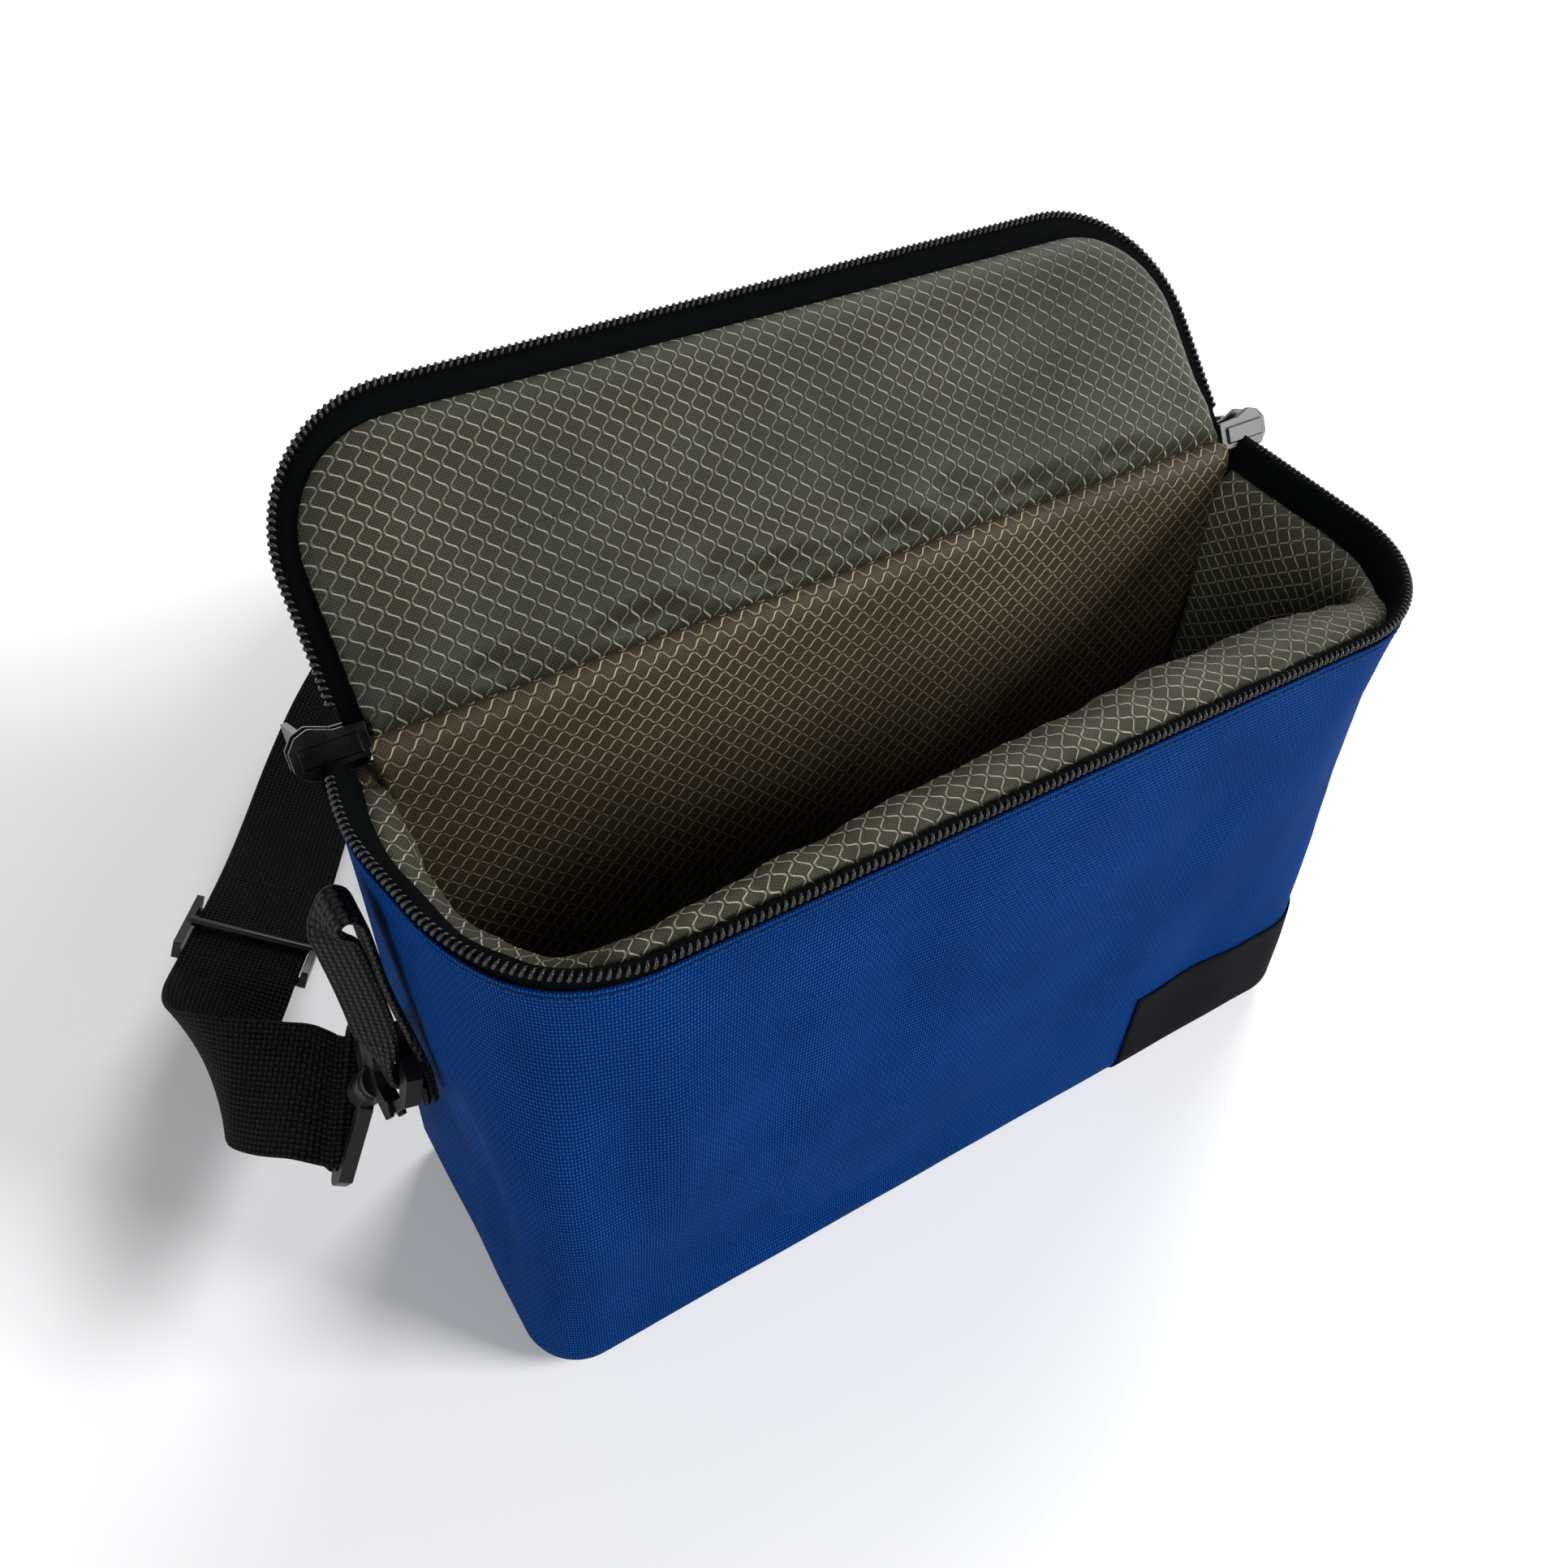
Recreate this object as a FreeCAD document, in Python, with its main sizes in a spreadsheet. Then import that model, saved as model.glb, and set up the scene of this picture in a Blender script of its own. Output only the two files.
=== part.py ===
import FreeCAD, Part
import Sketcher

import math
import os
import re

from FreeCAD import Placement, Rotation, Vector

# A padded zip-lid box bag with a clip-on shoulder strap, shown with its lid open.
# Millimetres. +Z is up, the front wall faces -Y, and the origin is the middle of the base.

SIZES = {
    # Box of the bag
    "bag_width": 300,
    "bag_depth": 96,
    "rim_height": 183.2,
    "base_corner": 18,
    "rim_corner": 42,
    "corner_grown": 150,
    "base_round": 11,
    "bottom_seam": 14,
    "board_split": 4,
    # Fabric, foam and lining
    "shell_gauge": 0.8,
    "foam_gauge": 8,
    "lining_gauge": 0.4,
    "pan_spare": 20,
    "overrun": 1,
    "side_drop": 11.2,
    "back_drop": 6.7,
    "notch_drop": 7.2,
    "notch_length": 10,
    # Zip round the rim
    "tape_gauge": 0.6,
    "rim_coil_width": 3.4,
    "rim_coil_height": 3.6,
    "rim_coil_overhang": 0.8,
    # Hinge line of the lid
    "hinge_inset": 8,
    "hinge_rise": 1.6,
    "hinge_slider_gap": 4,
    "hinge_strip_gauge": 1.2,
    "hinge_bead": 0.9,
    "hinge_clearance": 0.3,
    "lid_open_angle": 137,
    # Lid, drawn closed
    "lid_side_inset": 3.5,
    "lid_corner": 43,
    "lid_seam_rise": 5.2,
    "lid_coil_width": 3.2,
    "lid_coil_height": 3.2,
    "lid_coil_drop": 0.8,
    "lid_tape_width": 8.8,
    "lid_wing_start": 14.2,
    "pad_start": 4,
    "pad_side_gap": 1.8,
    "pad_front_gap": 1,
    "pad_corner_ease": 0.8,
    "pad_crown": 8.6,
    "crown_reach": 30,
    # Woven label on the front
    "label_reach": 84,
    "label_wrap": 14,
    "label_low": 3,
    "label_height": 43,
    "label_gauge": 0.6,
    # Side loops of folded webbing
    "loop_y": 10.5,
    "loop_foot": 80,
    "loop_rim_gap": 0.7,
    "loop_bow": 15,
    "loop_round": 6.75,
    "loop_shoulder": 10,
    "loop_lean": 1.6,
    "loop_ease": 3,
    "loop_ease_drop": 7,
    "loop_seam_drop": 10,
    "eye_ease": 2.6,
    "eye_ease_drop": 4.5,
    "eye_drop": 6,
    "loop_width": 12.5,
    "loop_waist": 8,
    "loop_waist_top": 118,
    "loop_gauge": 2.4,
    # Shoulder strap
    "strap_width": 38.1,
    "strap_gauge": 1.4,
    # Swivel hooks, drawn standing on the bar that holds the strap
    "bar_out": 21.5,
    "bar_y": 33,
    "bar_z": 64,
    "crown_out": 6.6,
    "crown_y": 8.8,
    "crown_z": 107.2,
    "bar_gauge": 4,
    "frame_clearance": 0.65,
    "frame_rail": 3.8,
    "frame_slot": 14,
    "frame_side": 6,
    "frame_apex": 6,
    "frame_apex_lean": 1,
    "frame_round": 2.8,
    "socket_radius": 5,
    "socket_length": 10,
    "pin_radius": 2.45,
    "running_fit": 0.05,
    "end_play": 0.3,
    "pin_head_radius": 4,
    "pin_head_height": 2.3,
    "hook_collar": 3.7,
    "hook_gauge": 4.5,
    "hook_root": 4,
    "hook_shoulder": 3,
    "hook_chamfer": 6,
    "hook_top_half": 6,
    "throat_width": 14,
    "throat_floor_half": 2,
    "throat_floor": 2.5,
    "throat_side": 5.5,
    "throat_ease": 2.5,
    "mouth_low": 7,
    "mouth_lip": 2.7,
    "gate_gauge": 2.8,
    "gate_thickness": 2.2,
    "gate_slot": 2.5,
    "gate_foot": 1.5,
    "gate_pin_rise": 5,
    "gate_pin_radius": 0.8,
    "fold_gauge": 1.4,
    "fold_bore": 2.9,
    "fold_room": 0.7,
    # Slide buckle of the strap
    "glide_rail": 2.4,
    "glide_length": 26,
    "glide_bar": 1.6,
    "glide_clearance": 0.3,
    "glide_side_gap": 0.6,
    "glide_start": 1,
    # Zip sliders
    "slider_length": 19,
    "slider_width": 13.2,
    "slider_tail_half": 4.2,
    "slider_waist_half": 4.6,
    "slider_nose_half": 5.4,
    "slider_tip_half": 2.4,
    "slider_waist": 7.5,
    "slider_broad": 6,
    "slider_shoulder": 2.5,
    "slider_tilt": 57,
    "slider_plate": 1.6,
    "slider_channel": 3.8,
    "bridge_set": 1,
    "bridge_length": 3,
    "bridge_half": 2.2,
    "ridge_tail": 2.5,
    "ridge_nose": 2,
    "ridge_half": 2.4,
    "slider_behind": 7,
    "slider_above": 0.2,
    "slider_overhang": 9,
    "chain_width": 5,
    "chain_height": 2.4,
    "chain_tail": 1.5,
    "chain_nose": 5,
    "cheek_half": 1.5,
    "cheek_gauge": 1.1,
    "cheek_cover": 1.3,
    "tab_pin_along": 4.5,
    "tab_pin_radius": 0.9,
    "tab_pin_drop": 2.4,
    "tab_gauge": 1.8,
    "tab_width": 9,
    "tab_length": 24,
    "tab_neck": 4,
    "tab_neck_length": 3.5,
    "tab_side_gap": 0.3,
    "knuckle_wall": 1,
}

WORD = re.compile(r"[a-z]\w*")

doc = FreeCAD.newDocument("PaddedBag")
sheet = doc.addObject("Spreadsheet::Sheet", "Sizes")
for row, (word, number) in enumerate(SIZES.items(), start=1):
    sheet.set(f"A{row}", word)
    sheet.set(f"B{row}", str(number))
    sheet.setAlias(f"B{row}", word)
doc.recompute()

sub_parts = []


def bound(text):
    """Turn an expression in plain size names into one that reads the sheet."""
    return WORD.sub(lambda found: "Sizes." + found[0] if found[0] in SIZES else found[0], text)


def size(text):
    """The present value of an expression in plain size names, as a number."""
    result = sheet.evalExpression(bound(text))
    return float(getattr(result, "Value", result))


def keep(piece, label, placement=None):
    """Name a finished sub-part, place it and put it on the list of pieces."""
    piece.Label = label
    if placement is not None:
        piece.Placement = placement
    sub_parts.append(piece)
    return piece


# Helpers for sketches, features and solids

def new_body(name):
    return doc.addObject("PartDesign::Body", name)


def new_sketch(body, role, offset):
    """A sketch on one of the body's own origin planes, moved along the plane's normal."""
    plane = next(part for part in body.Origin.OriginFeatures if part.Role == role)
    sketch = body.newObject("Sketcher::SketchObject", body.Name + "_sketch")
    sketch.AttachmentSupport = [(plane, "")]
    sketch.MapMode = "FlatFace"
    sketch.setExpression(".AttachmentOffset.Base.z", bound(offset))
    return sketch


def pin(sketch, kind, places, name, text):
    """Add one dimension to a sketch and bind it to the sheet."""
    index = sketch.addConstraint(Sketcher.Constraint(kind, *places, size(text)))
    sketch.renameConstraint(index, name)
    sketch.setExpression("Constraints." + name, bound(text))


def box_outline(body, height, half, front, back, radius):
    """A level outline: straight back, two sides, and a front with two round corners."""
    sketch = new_sketch(body, "XY_Plane", height)
    h, f, b, r = size(half), size(front), size(back), size(radius)
    up = Vector(0, 0, 1)
    left = Part.LineSegment(Vector(-h, b, 0), Vector(-h, r - f, 0))
    left_corner = Part.ArcOfCircle(Part.Circle(Vector(r - h, r - f, 0), up, r), math.pi, 1.5 * math.pi)
    face = Part.LineSegment(Vector(r - h, -f, 0), Vector(h - r, -f, 0))
    right_corner = Part.ArcOfCircle(Part.Circle(Vector(h - r, r - f, 0), up, r), 1.5 * math.pi, 2 * math.pi)
    right = Part.LineSegment(Vector(h, r - f, 0), Vector(h, b, 0))
    rear = Part.LineSegment(Vector(h, b, 0), Vector(-h, b, 0))
    sketch.addGeometry([left, left_corner, face, right_corner, right, rear])
    for first in range(4):
        sketch.addConstraint(Sketcher.Constraint("Tangent", first, 2, first + 1, 1))
    sketch.addConstraint(Sketcher.Constraint("Coincident", 4, 2, 5, 1))
    sketch.addConstraint(Sketcher.Constraint("Coincident", 5, 2, 0, 1))
    sketch.addConstraint(Sketcher.Constraint("Vertical", 0))
    sketch.addConstraint(Sketcher.Constraint("Horizontal", 2))
    sketch.addConstraint(Sketcher.Constraint("Vertical", 4))
    sketch.addConstraint(Sketcher.Constraint("Equal", 1, 3))
    sketch.addConstraint(Sketcher.Constraint("Symmetric", 0, 1, 4, 2, -2))
    pin(sketch, "DistanceX", (-1, 1, 4, 2), "half", half)
    pin(sketch, "DistanceY", (2, 1, -1, 1), "front", front)
    pin(sketch, "DistanceY", (-1, 1, 4, 2), "back", back)
    pin(sketch, "Radius", (1,), "corner", radius)
    return sketch


def polygon(body, role, offset, points):
    """A closed outline of straight lines, each corner pinned by two dimensions."""
    sketch = new_sketch(body, role, offset)
    corners = [Vector(size(x), size(y), 0) for x, y in points]
    count = len(points)
    sketch.addGeometry([Part.LineSegment(corners[i], corners[(i + 1) % count]) for i in range(count)])
    for i, (x, y) in enumerate(points):
        sketch.addConstraint(Sketcher.Constraint("Coincident", i, 2, (i + 1) % count, 1))
        pin(sketch, "DistanceX", (-1, 1, i, 1), f"x{i}_at", x)
        pin(sketch, "DistanceY", (-1, 1, i, 1), f"y{i}_at", y)
    return sketch


def circle(body, role, offset, x, y, radius):
    """A round outline about a pinned centre."""
    sketch = new_sketch(body, role, offset)
    sketch.addGeometry(Part.Circle(Vector(size(x), size(y), 0), Vector(0, 0, 1), size(radius)))
    pin(sketch, "DistanceX", (-1, 1, 0, 3), "x_at", x)
    pin(sketch, "DistanceY", (-1, 1, 0, 3), "y_at", y)
    pin(sketch, "Radius", (0,), "radius", radius)
    return sketch


def pad(body, sketch, length):
    feature = body.newObject("PartDesign::Pad", body.Name + "_pad")
    feature.Profile = sketch
    feature.setExpression("Length", bound(length))
    doc.recompute()
    return feature


def pocket(body, sketch, length):
    """Cut against the sketch's normal, and make sure that something was cut."""
    before = body.Shape.Volume
    feature = body.newObject("PartDesign::Pocket", body.Name + "_pocket")
    feature.Profile = sketch
    feature.setExpression("Length", bound(length))
    doc.recompute()
    if body.Shape.Volume >= before:
        raise RuntimeError(feature.Name + " cuts nothing")
    return feature


def loft(body, kind, sketches):
    feature = body.newObject("PartDesign::" + kind, body.Name + "_loft")
    feature.Profile = sketches[0]
    feature.Sections = sketches[1:]
    feature.Ruled = True
    doc.recompute()
    return feature


def post(body, low, high, radius, kind="AdditiveCylinder"):
    """A round post, or a bore, along the body's own Z."""
    plane = next(part for part in body.Origin.OriginFeatures if part.Role == "XY_Plane")
    feature = body.newObject("PartDesign::" + kind, body.Name + "_post")
    feature.AttachmentSupport = [(plane, "")]
    feature.MapMode = "FlatFace"
    feature.setExpression(".AttachmentOffset.Base.z", bound(low))
    feature.setExpression("Radius", bound(radius))
    feature.setExpression("Height", bound(f"({high}) - ({low})"))
    doc.recompute()
    return feature


def round_edges(body, feature, along, radius, chosen):
    """Round those edges of a feature that run along one axis and that chosen() picks."""
    names = []
    for number, edge in enumerate(feature.Shape.Edges, start=1):
        ends = [vertex.Point for vertex in edge.Vertexes]
        if len(ends) == 2 and (ends[1] - ends[0]).cross(along).Length < 1e-6 and chosen(ends[0]):
            names.append(f"Edge{number}")
    fillet = body.newObject("PartDesign::Fillet", body.Name + "_rounding")
    fillet.Base = (feature, names)
    fillet.setExpression("Radius", bound(radius))
    doc.recompute()
    return fillet


def block(name, x_range, y_range, z_range):
    """A box between named limits."""
    box = doc.addObject("Part::Box", name)
    limits = zip(("Length", "Width", "Height"), "xyz", (x_range, y_range, z_range))
    for side, axis, (low, high) in limits:
        box.setExpression(side, bound(f"({high}) - ({low})"))
        box.setExpression(".Placement.Base." + axis, bound(low))
    return box


def boolean(kind, name, base, tool):
    feature = doc.addObject("Part::" + kind, name)
    feature.Base = base
    feature.Tool = tool
    return feature


def toward(place, x_axis, z_axis):
    """The placement whose own X and Z point along two directions at right angles."""
    y_axis = z_axis.cross(x_axis)
    return Placement(place, Rotation(x_axis, y_axis, z_axis, "ZXY"))


# Bag walls: every layer is the space between two pans, and each board or panel is a piece of it

ROUND_STEPS = (0, 30, 60, 90)
TALL = "rim_height + pan_spare"


def pan(name, depth):
    """The closed space inside a wall layer at one depth from the outer face."""
    body = new_body(name)
    sketches = []
    for angle in ROUND_STEPS:
        inset = f"({depth} + (base_round - ({depth})) * (1 - sin({angle} deg)))"
        height = f"{depth} + (base_round - ({depth})) * (1 - cos({angle} deg))"
        sketches.append(box_outline(body, height, f"bag_width / 2 - {inset}", f"bag_depth / 2 - {inset}",
                                    f"bag_depth / 2 - ({depth})", f"base_corner - {inset}"))
    for height in ("corner_grown", TALL):
        sketches.append(box_outline(body, height, f"bag_width / 2 - ({depth})", f"bag_depth / 2 - ({depth})",
                                    f"bag_depth / 2 - ({depth})", f"rim_corner - ({depth})"))
    loft(body, "AdditiveLoft", sketches)
    return body


LABEL_FACE = "-label_gauge"
OUTER_FACE = "0"
SHELL_FACE = "shell_gauge"
FOAM_FACE = "shell_gauge + foam_gauge"
LINING_FACE = "shell_gauge + foam_gauge + lining_gauge"
FULL_X = ("-bag_width", "bag_width")
SIDE_TOP = "rim_height - side_drop"
BACK_TOP = "rim_height - back_drop"

label_pan = pan("label_pan", LABEL_FACE)
outer_pan = pan("outer_pan", OUTER_FACE)
shell_pan = pan("shell_pan", SHELL_FACE)
foam_pan = pan("foam_pan", FOAM_FACE)
lining_pan = pan("lining_pan", LINING_FACE)


def bottom_zone(layer, outer, inner):
    return block(layer + "_bottom_zone",
                 ("bottom_seam - bag_width / 2", "bag_width / 2 - bottom_seam"),
                 ("bottom_seam - bag_depth / 2", f"bag_depth / 2 - ({inner})"),
                 (outer, inner))


def back_zone(layer, inner):
    return block(layer + "_back_zone", FULL_X, (f"bag_depth / 2 - ({inner})", "bag_depth"), ("0", BACK_TOP))


def shell_panels():
    """Outer fabric: one wrap for the front and sides, a back panel and a bottom panel."""
    layer = boolean("Cut", "shell_layer", outer_pan, shell_pan)
    bottom = bottom_zone("shell", OUTER_FACE, SHELL_FACE)
    keep(boolean("Common", "shell_bottom", layer, bottom), "shell_bottom")
    keep(boolean("Common", "shell_back", layer, back_zone("shell", SHELL_FACE)), "shell_back")
    walls = boolean("Cut", "shell_walls", layer, bottom)
    zone = block("shell_wrap_zone", FULL_X, ("-bag_depth", f"bag_depth / 2 - ({SHELL_FACE})"),
                 ("0", "rim_height"))
    wrap = boolean("Common", "shell_wrap_full", walls, zone)
    notch = block("slider_notch", FULL_X, ("bag_depth / 2 - notch_length", "bag_depth"),
                  ("rim_height - notch_drop", TALL))
    keep(boolean("Cut", "shell_wrap", wrap, notch), "shell_wrap")


def padded_boards(name, outer, inner, outer_pan_body, inner_pan_body, front_cut):
    """One inner layer as five boards: front with its corners, left, right, back and bottom."""
    layer = boolean("Cut", name + "_layer", outer_pan_body, inner_pan_body)
    bottom = bottom_zone(name, outer, inner)
    keep(boolean("Common", name + "_bottom", layer, bottom), name + "_bottom")
    keep(boolean("Common", name + "_back", layer, back_zone(name, inner)), name + "_back")
    walls = boolean("Cut", name + "_walls", layer, bottom)
    front_zone = block(name + "_front_zone", FULL_X, ("-bag_depth", "-board_split"), ("0", "rim_height"))
    front = boolean("Common", name + "_front_full", walls, front_zone)
    keep(boolean("Cut", name + "_front", front, front_cut), name + "_front")
    side_y = ("-board_split", f"bag_depth / 2 - ({inner})")
    for side, x_range in (("left", ("-bag_width", "0")), ("right", ("0", "bag_width"))):
        zone = block(f"{name}_{side}_zone", x_range, side_y, ("0", SIDE_TOP))
        keep(boolean("Common", f"{name}_{side}", walls, zone), f"{name}_{side}")


def u_band(name, half, front, radius, outer, inner, back, low, high):
    """A band that runs round the front and sides between two depths, open at the back."""
    body = new_body(name)
    outside = box_outline(body, low, f"{half} - ({outer})", f"{front} - ({outer})", back,
                          f"{radius} - ({outer})")
    pad(body, outside, f"({high}) - ({low})")
    inside = box_outline(body, high, f"{half} - ({inner})", f"{front} - ({inner})", f"{back} + overrun",
                         f"{radius} - ({inner})")
    pocket(body, inside, f"({high}) - ({low})")
    return body


RIM = ("bag_width / 2", "bag_depth / 2", "rim_corner")
RIM_END = "bag_depth / 2 - notch_length"
rim_tape = keep(u_band("rim_zip_tape", *RIM, SHELL_FACE, "shell_gauge + tape_gauge", RIM_END,
                       SIDE_TOP, "rim_height"), "rim_zip_tape")
keep(u_band("rim_zip_coil", *RIM, "-rim_coil_overhang", "rim_coil_width - rim_coil_overhang", RIM_END,
            "rim_height", "rim_height + rim_coil_height"), "rim_zip_coil")
shell_panels()
padded_boards("foam", SHELL_FACE, FOAM_FACE, shell_pan, foam_pan, rim_tape)
padded_boards("lining", FOAM_FACE, LINING_FACE, foam_pan, lining_pan, rim_tape)


# Lid: drawn closed and level, then turned open about the hinge line

HINGE_Y = "bag_depth / 2 - hinge_inset"
HINGE_Z = "rim_height + hinge_rise"
LID_SEAM = f"{HINGE_Z} + lid_seam_rise"
LID = ("(bag_width / 2 - lid_side_inset)", "bag_depth / 2", "lid_corner")
LID_WING = f"{HINGE_Y} - lid_wing_start"
PAD_HALF = f"(bag_width / 2 - ({LINING_FACE}) - pad_side_gap)"
PAD_FRONT = f"(bag_depth / 2 - ({LINING_FACE}) - pad_front_gap)"
PAD_BACK = f"({HINGE_Y} - pad_start)"
PAD_CORNER = f"(rim_corner - ({LINING_FACE}) - pad_corner_ease)"
CROWN_STEPS = (0, 20, 40, 65, 90)
HINGE_HALF = "(bag_width / 2 + slider_overhang - slider_length - hinge_slider_gap)"

hinge_point = Vector(0, size(HINGE_Y), size(HINGE_Z))
lid_turn = Placement(Vector(), Rotation(Vector(1, 0, 0), -size("lid_open_angle")), hinge_point)


def crown_outlines(body, skin):
    """Stacked outlines of the crowned pad, from its seam to its flat middle, skin inside the cover."""
    sketches = []
    for angle in CROWN_STEPS:
        inset = f"({skin} + crown_reach * (1 - cos({angle} deg)))"
        height = f"{LID_SEAM} - (pad_crown - ({skin})) * sin({angle} deg)"
        sketches.append(box_outline(body, height, f"{PAD_HALF} - {inset}", f"{PAD_FRONT} - {inset}",
                                    f"{PAD_BACK} - {inset}", f"{PAD_CORNER} - {inset}"))
    return sketches


def lid_pieces():
    tape_top = f"{LID_SEAM} + tape_gauge"
    foam = new_body("lid_foam")
    loft(foam, "AdditiveLoft", crown_outlines(foam, "lining_gauge"))
    keep(foam, "lid_foam", lid_turn)

    lining = new_body("lid_lining")
    loft(lining, "AdditiveLoft", crown_outlines(lining, "0"))
    loft(lining, "SubtractiveLoft", crown_outlines(lining, "lining_gauge"))
    keep(lining, "lid_lining", lid_turn)

    coil_low = f"{LID_SEAM} - lid_coil_drop"
    coil = u_band("lid_zip_coil", *LID, "0", "lid_coil_width", LID_WING,
                  coil_low, f"{coil_low} + lid_coil_height")
    keep(coil, "lid_zip_coil", lid_turn)
    tape = u_band("lid_zip_tape", *LID, "lid_coil_width", "lid_coil_width + lid_tape_width", LID_WING,
                  LID_SEAM, tape_top)
    keep(tape, "lid_zip_tape", lid_turn)

    shell = new_body("lid_shell")
    outline = box_outline(shell, tape_top, f"{LID[0]} - lid_coil_width", f"{LID[1]} - lid_coil_width",
                          LID_WING, f"{LID[2]} - lid_coil_width")
    pad(shell, outline, "shell_gauge")
    tongue = polygon(shell, "XY_Plane", tape_top, [
        (f"-{PAD_HALF}", f"{LID_WING} - overrun"), (PAD_HALF, f"{LID_WING} - overrun"),
        (PAD_HALF, PAD_BACK), (f"-{PAD_HALF}", PAD_BACK)])
    pad(shell, tongue, "shell_gauge")
    keep(shell, "lid_shell", lid_turn)

    # Cloth flange that comes down from the lid's seam to the hinge line
    flange = new_body("lid_hinge_flange")
    near = f"{HINGE_Y} - hinge_bead - hinge_clearance"
    outline = polygon(flange, "YZ_Plane", f"-{HINGE_HALF}", [
        (PAD_BACK, f"{HINGE_Z} - tape_gauge / 2"), (near, f"{HINGE_Z} - tape_gauge / 2"),
        (near, f"{HINGE_Z} + tape_gauge / 2"), (f"{PAD_BACK} + shell_gauge", f"{HINGE_Z} + tape_gauge / 2"),
        (f"{PAD_BACK} + shell_gauge", f"{tape_top} + shell_gauge"), (PAD_BACK, f"{tape_top} + shell_gauge")])
    pad(flange, outline, f"2 * {HINGE_HALF}")
    keep(flange, "lid_hinge_flange", lid_turn)


def hinge_strip():
    """The bag's half of the cloth hinge: an upright strip with a rolled bead on its edge."""
    half = "hinge_strip_gauge / 2"
    strip = block("hinge_web", (f"-{HINGE_HALF}", HINGE_HALF), (f"{HINGE_Y} - {half}", f"{HINGE_Y} + {half}"),
                  (BACK_TOP, HINGE_Z))
    bead = doc.addObject("Part::Cylinder", "hinge_roll")
    bead.setExpression("Radius", bound("hinge_bead"))
    bead.setExpression("Height", bound(f"2 * {HINGE_HALF}"))
    bead.Placement = Placement(Vector(), Rotation(Vector(0, 1, 0), 90))
    bead.setExpression(".Placement.Base.x", bound(f"-{HINGE_HALF}"))
    bead.setExpression(".Placement.Base.y", bound(HINGE_Y))
    bead.setExpression(".Placement.Base.z", bound(HINGE_Z))
    keep(boolean("Fuse", "hinge_strip", strip, bead), "hinge_strip")


def woven_label():
    """A thin patch low on the front that runs on round the right corner."""
    layer = boolean("Cut", "label_layer", label_pan, outer_pan)
    zone = block("label_zone", ("bag_width / 2 - label_reach", "bag_width"),
                 ("-bag_depth", "label_wrap - bag_depth / 2"), ("label_low", "label_low + label_height"))
    keep(boolean("Common", "woven_label", layer, zone), "woven_label")


lid_pieces()
hinge_strip()
woven_label()


# Side loops: webbing folded lengthwise, both ends sewn to the panel, held out by the hook

LOOP_TOP = "(rim_height - loop_rim_gap)"
LOOP_SHOULDER = f"({LOOP_TOP} - loop_shoulder)"
LEAN_AT_WAIST = f"loop_lean * ({LOOP_SHOULDER} - loop_waist_top) / ({LOOP_SHOULDER} - crown_z)"


def side_loop(side, sign):
    def x(text):
        return f"{sign} * (bag_width / 2 + {text})"

    body = new_body("side_loop_" + side)
    waist = [(x("0"), "loop_foot"), (x("0"), LOOP_TOP), (x("loop_bow"), LOOP_TOP),
             (x("loop_bow"), LOOP_SHOULDER), (x("loop_bow - loop_lean"), "crown_z"),
             (x("loop_bow - loop_ease"), "crown_z - loop_ease_drop"),
             (x("2 * loop_gauge"), "crown_z - loop_seam_drop"), (x("2 * loop_gauge"), "loop_foot")]
    eye = [(x("loop_gauge"), "crown_z - eye_drop"), (x("loop_gauge"), f"{LOOP_TOP} - loop_gauge"),
           (x("loop_bow - loop_gauge"), f"{LOOP_TOP} - loop_gauge"),
           (x("loop_bow - loop_gauge"), LOOP_SHOULDER),
           (x("loop_bow - loop_lean - loop_gauge"), "crown_z"),
           (x("loop_bow - eye_ease - loop_gauge"), "crown_z - eye_ease_drop")]
    broad = waist[1:4] + [(x(f"loop_bow - {LEAN_AT_WAIST}"), "loop_waist_top"), (x("0"), "loop_waist_top")]
    pad(body, polygon(body, "XZ_Plane", "-(loop_y + loop_waist / 2)", waist), "loop_waist")
    whole = pad(body, polygon(body, "XZ_Plane", "-(loop_y + loop_width / 2)", broad), "loop_width")
    top = size(LOOP_TOP)
    out = size(x("loop_bow"))
    round_edges(body, whole, Vector(0, 1, 0), "loop_round",
                lambda at: abs(at.z - top) < 1e-6 and abs(at.x - out) < 1e-6)
    pocket(body, polygon(body, "XZ_Plane", "-(loop_y - loop_width / 2)", eye), "loop_width")
    keep(body, "side_loop_" + side)


# Swivel hooks: a strap frame with a socket, a hook on a pin that turns in it, and a sprung gate

FRAME_HALF = "(strap_width / 2 + frame_clearance)"
FRAME_TOP = "(bar_gauge / 2 + frame_slot)"
SOCKET_TOP = f"({FRAME_TOP} + socket_length)"
COLLAR_LOW = f"({SOCKET_TOP} + end_play)"
COLLAR_TOP = f"({COLLAR_LOW} + hook_collar)"
HOOK_HALF = "(throat_width / 2 + hook_gauge)"
REACH = "sqrt((bar_out - crown_out)^2 + (bar_y - crown_y)^2 + (crown_z - bar_z)^2)"
CROWN = f"({REACH} + hook_gauge / 2)"
THROAT = f"({REACH} - hook_gauge / 2)"
GATE_X = "(throat_width / 2 + hook_gauge / 2)"
GATE_PIN_Z = f"{COLLAR_TOP} + gate_pin_rise"


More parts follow.
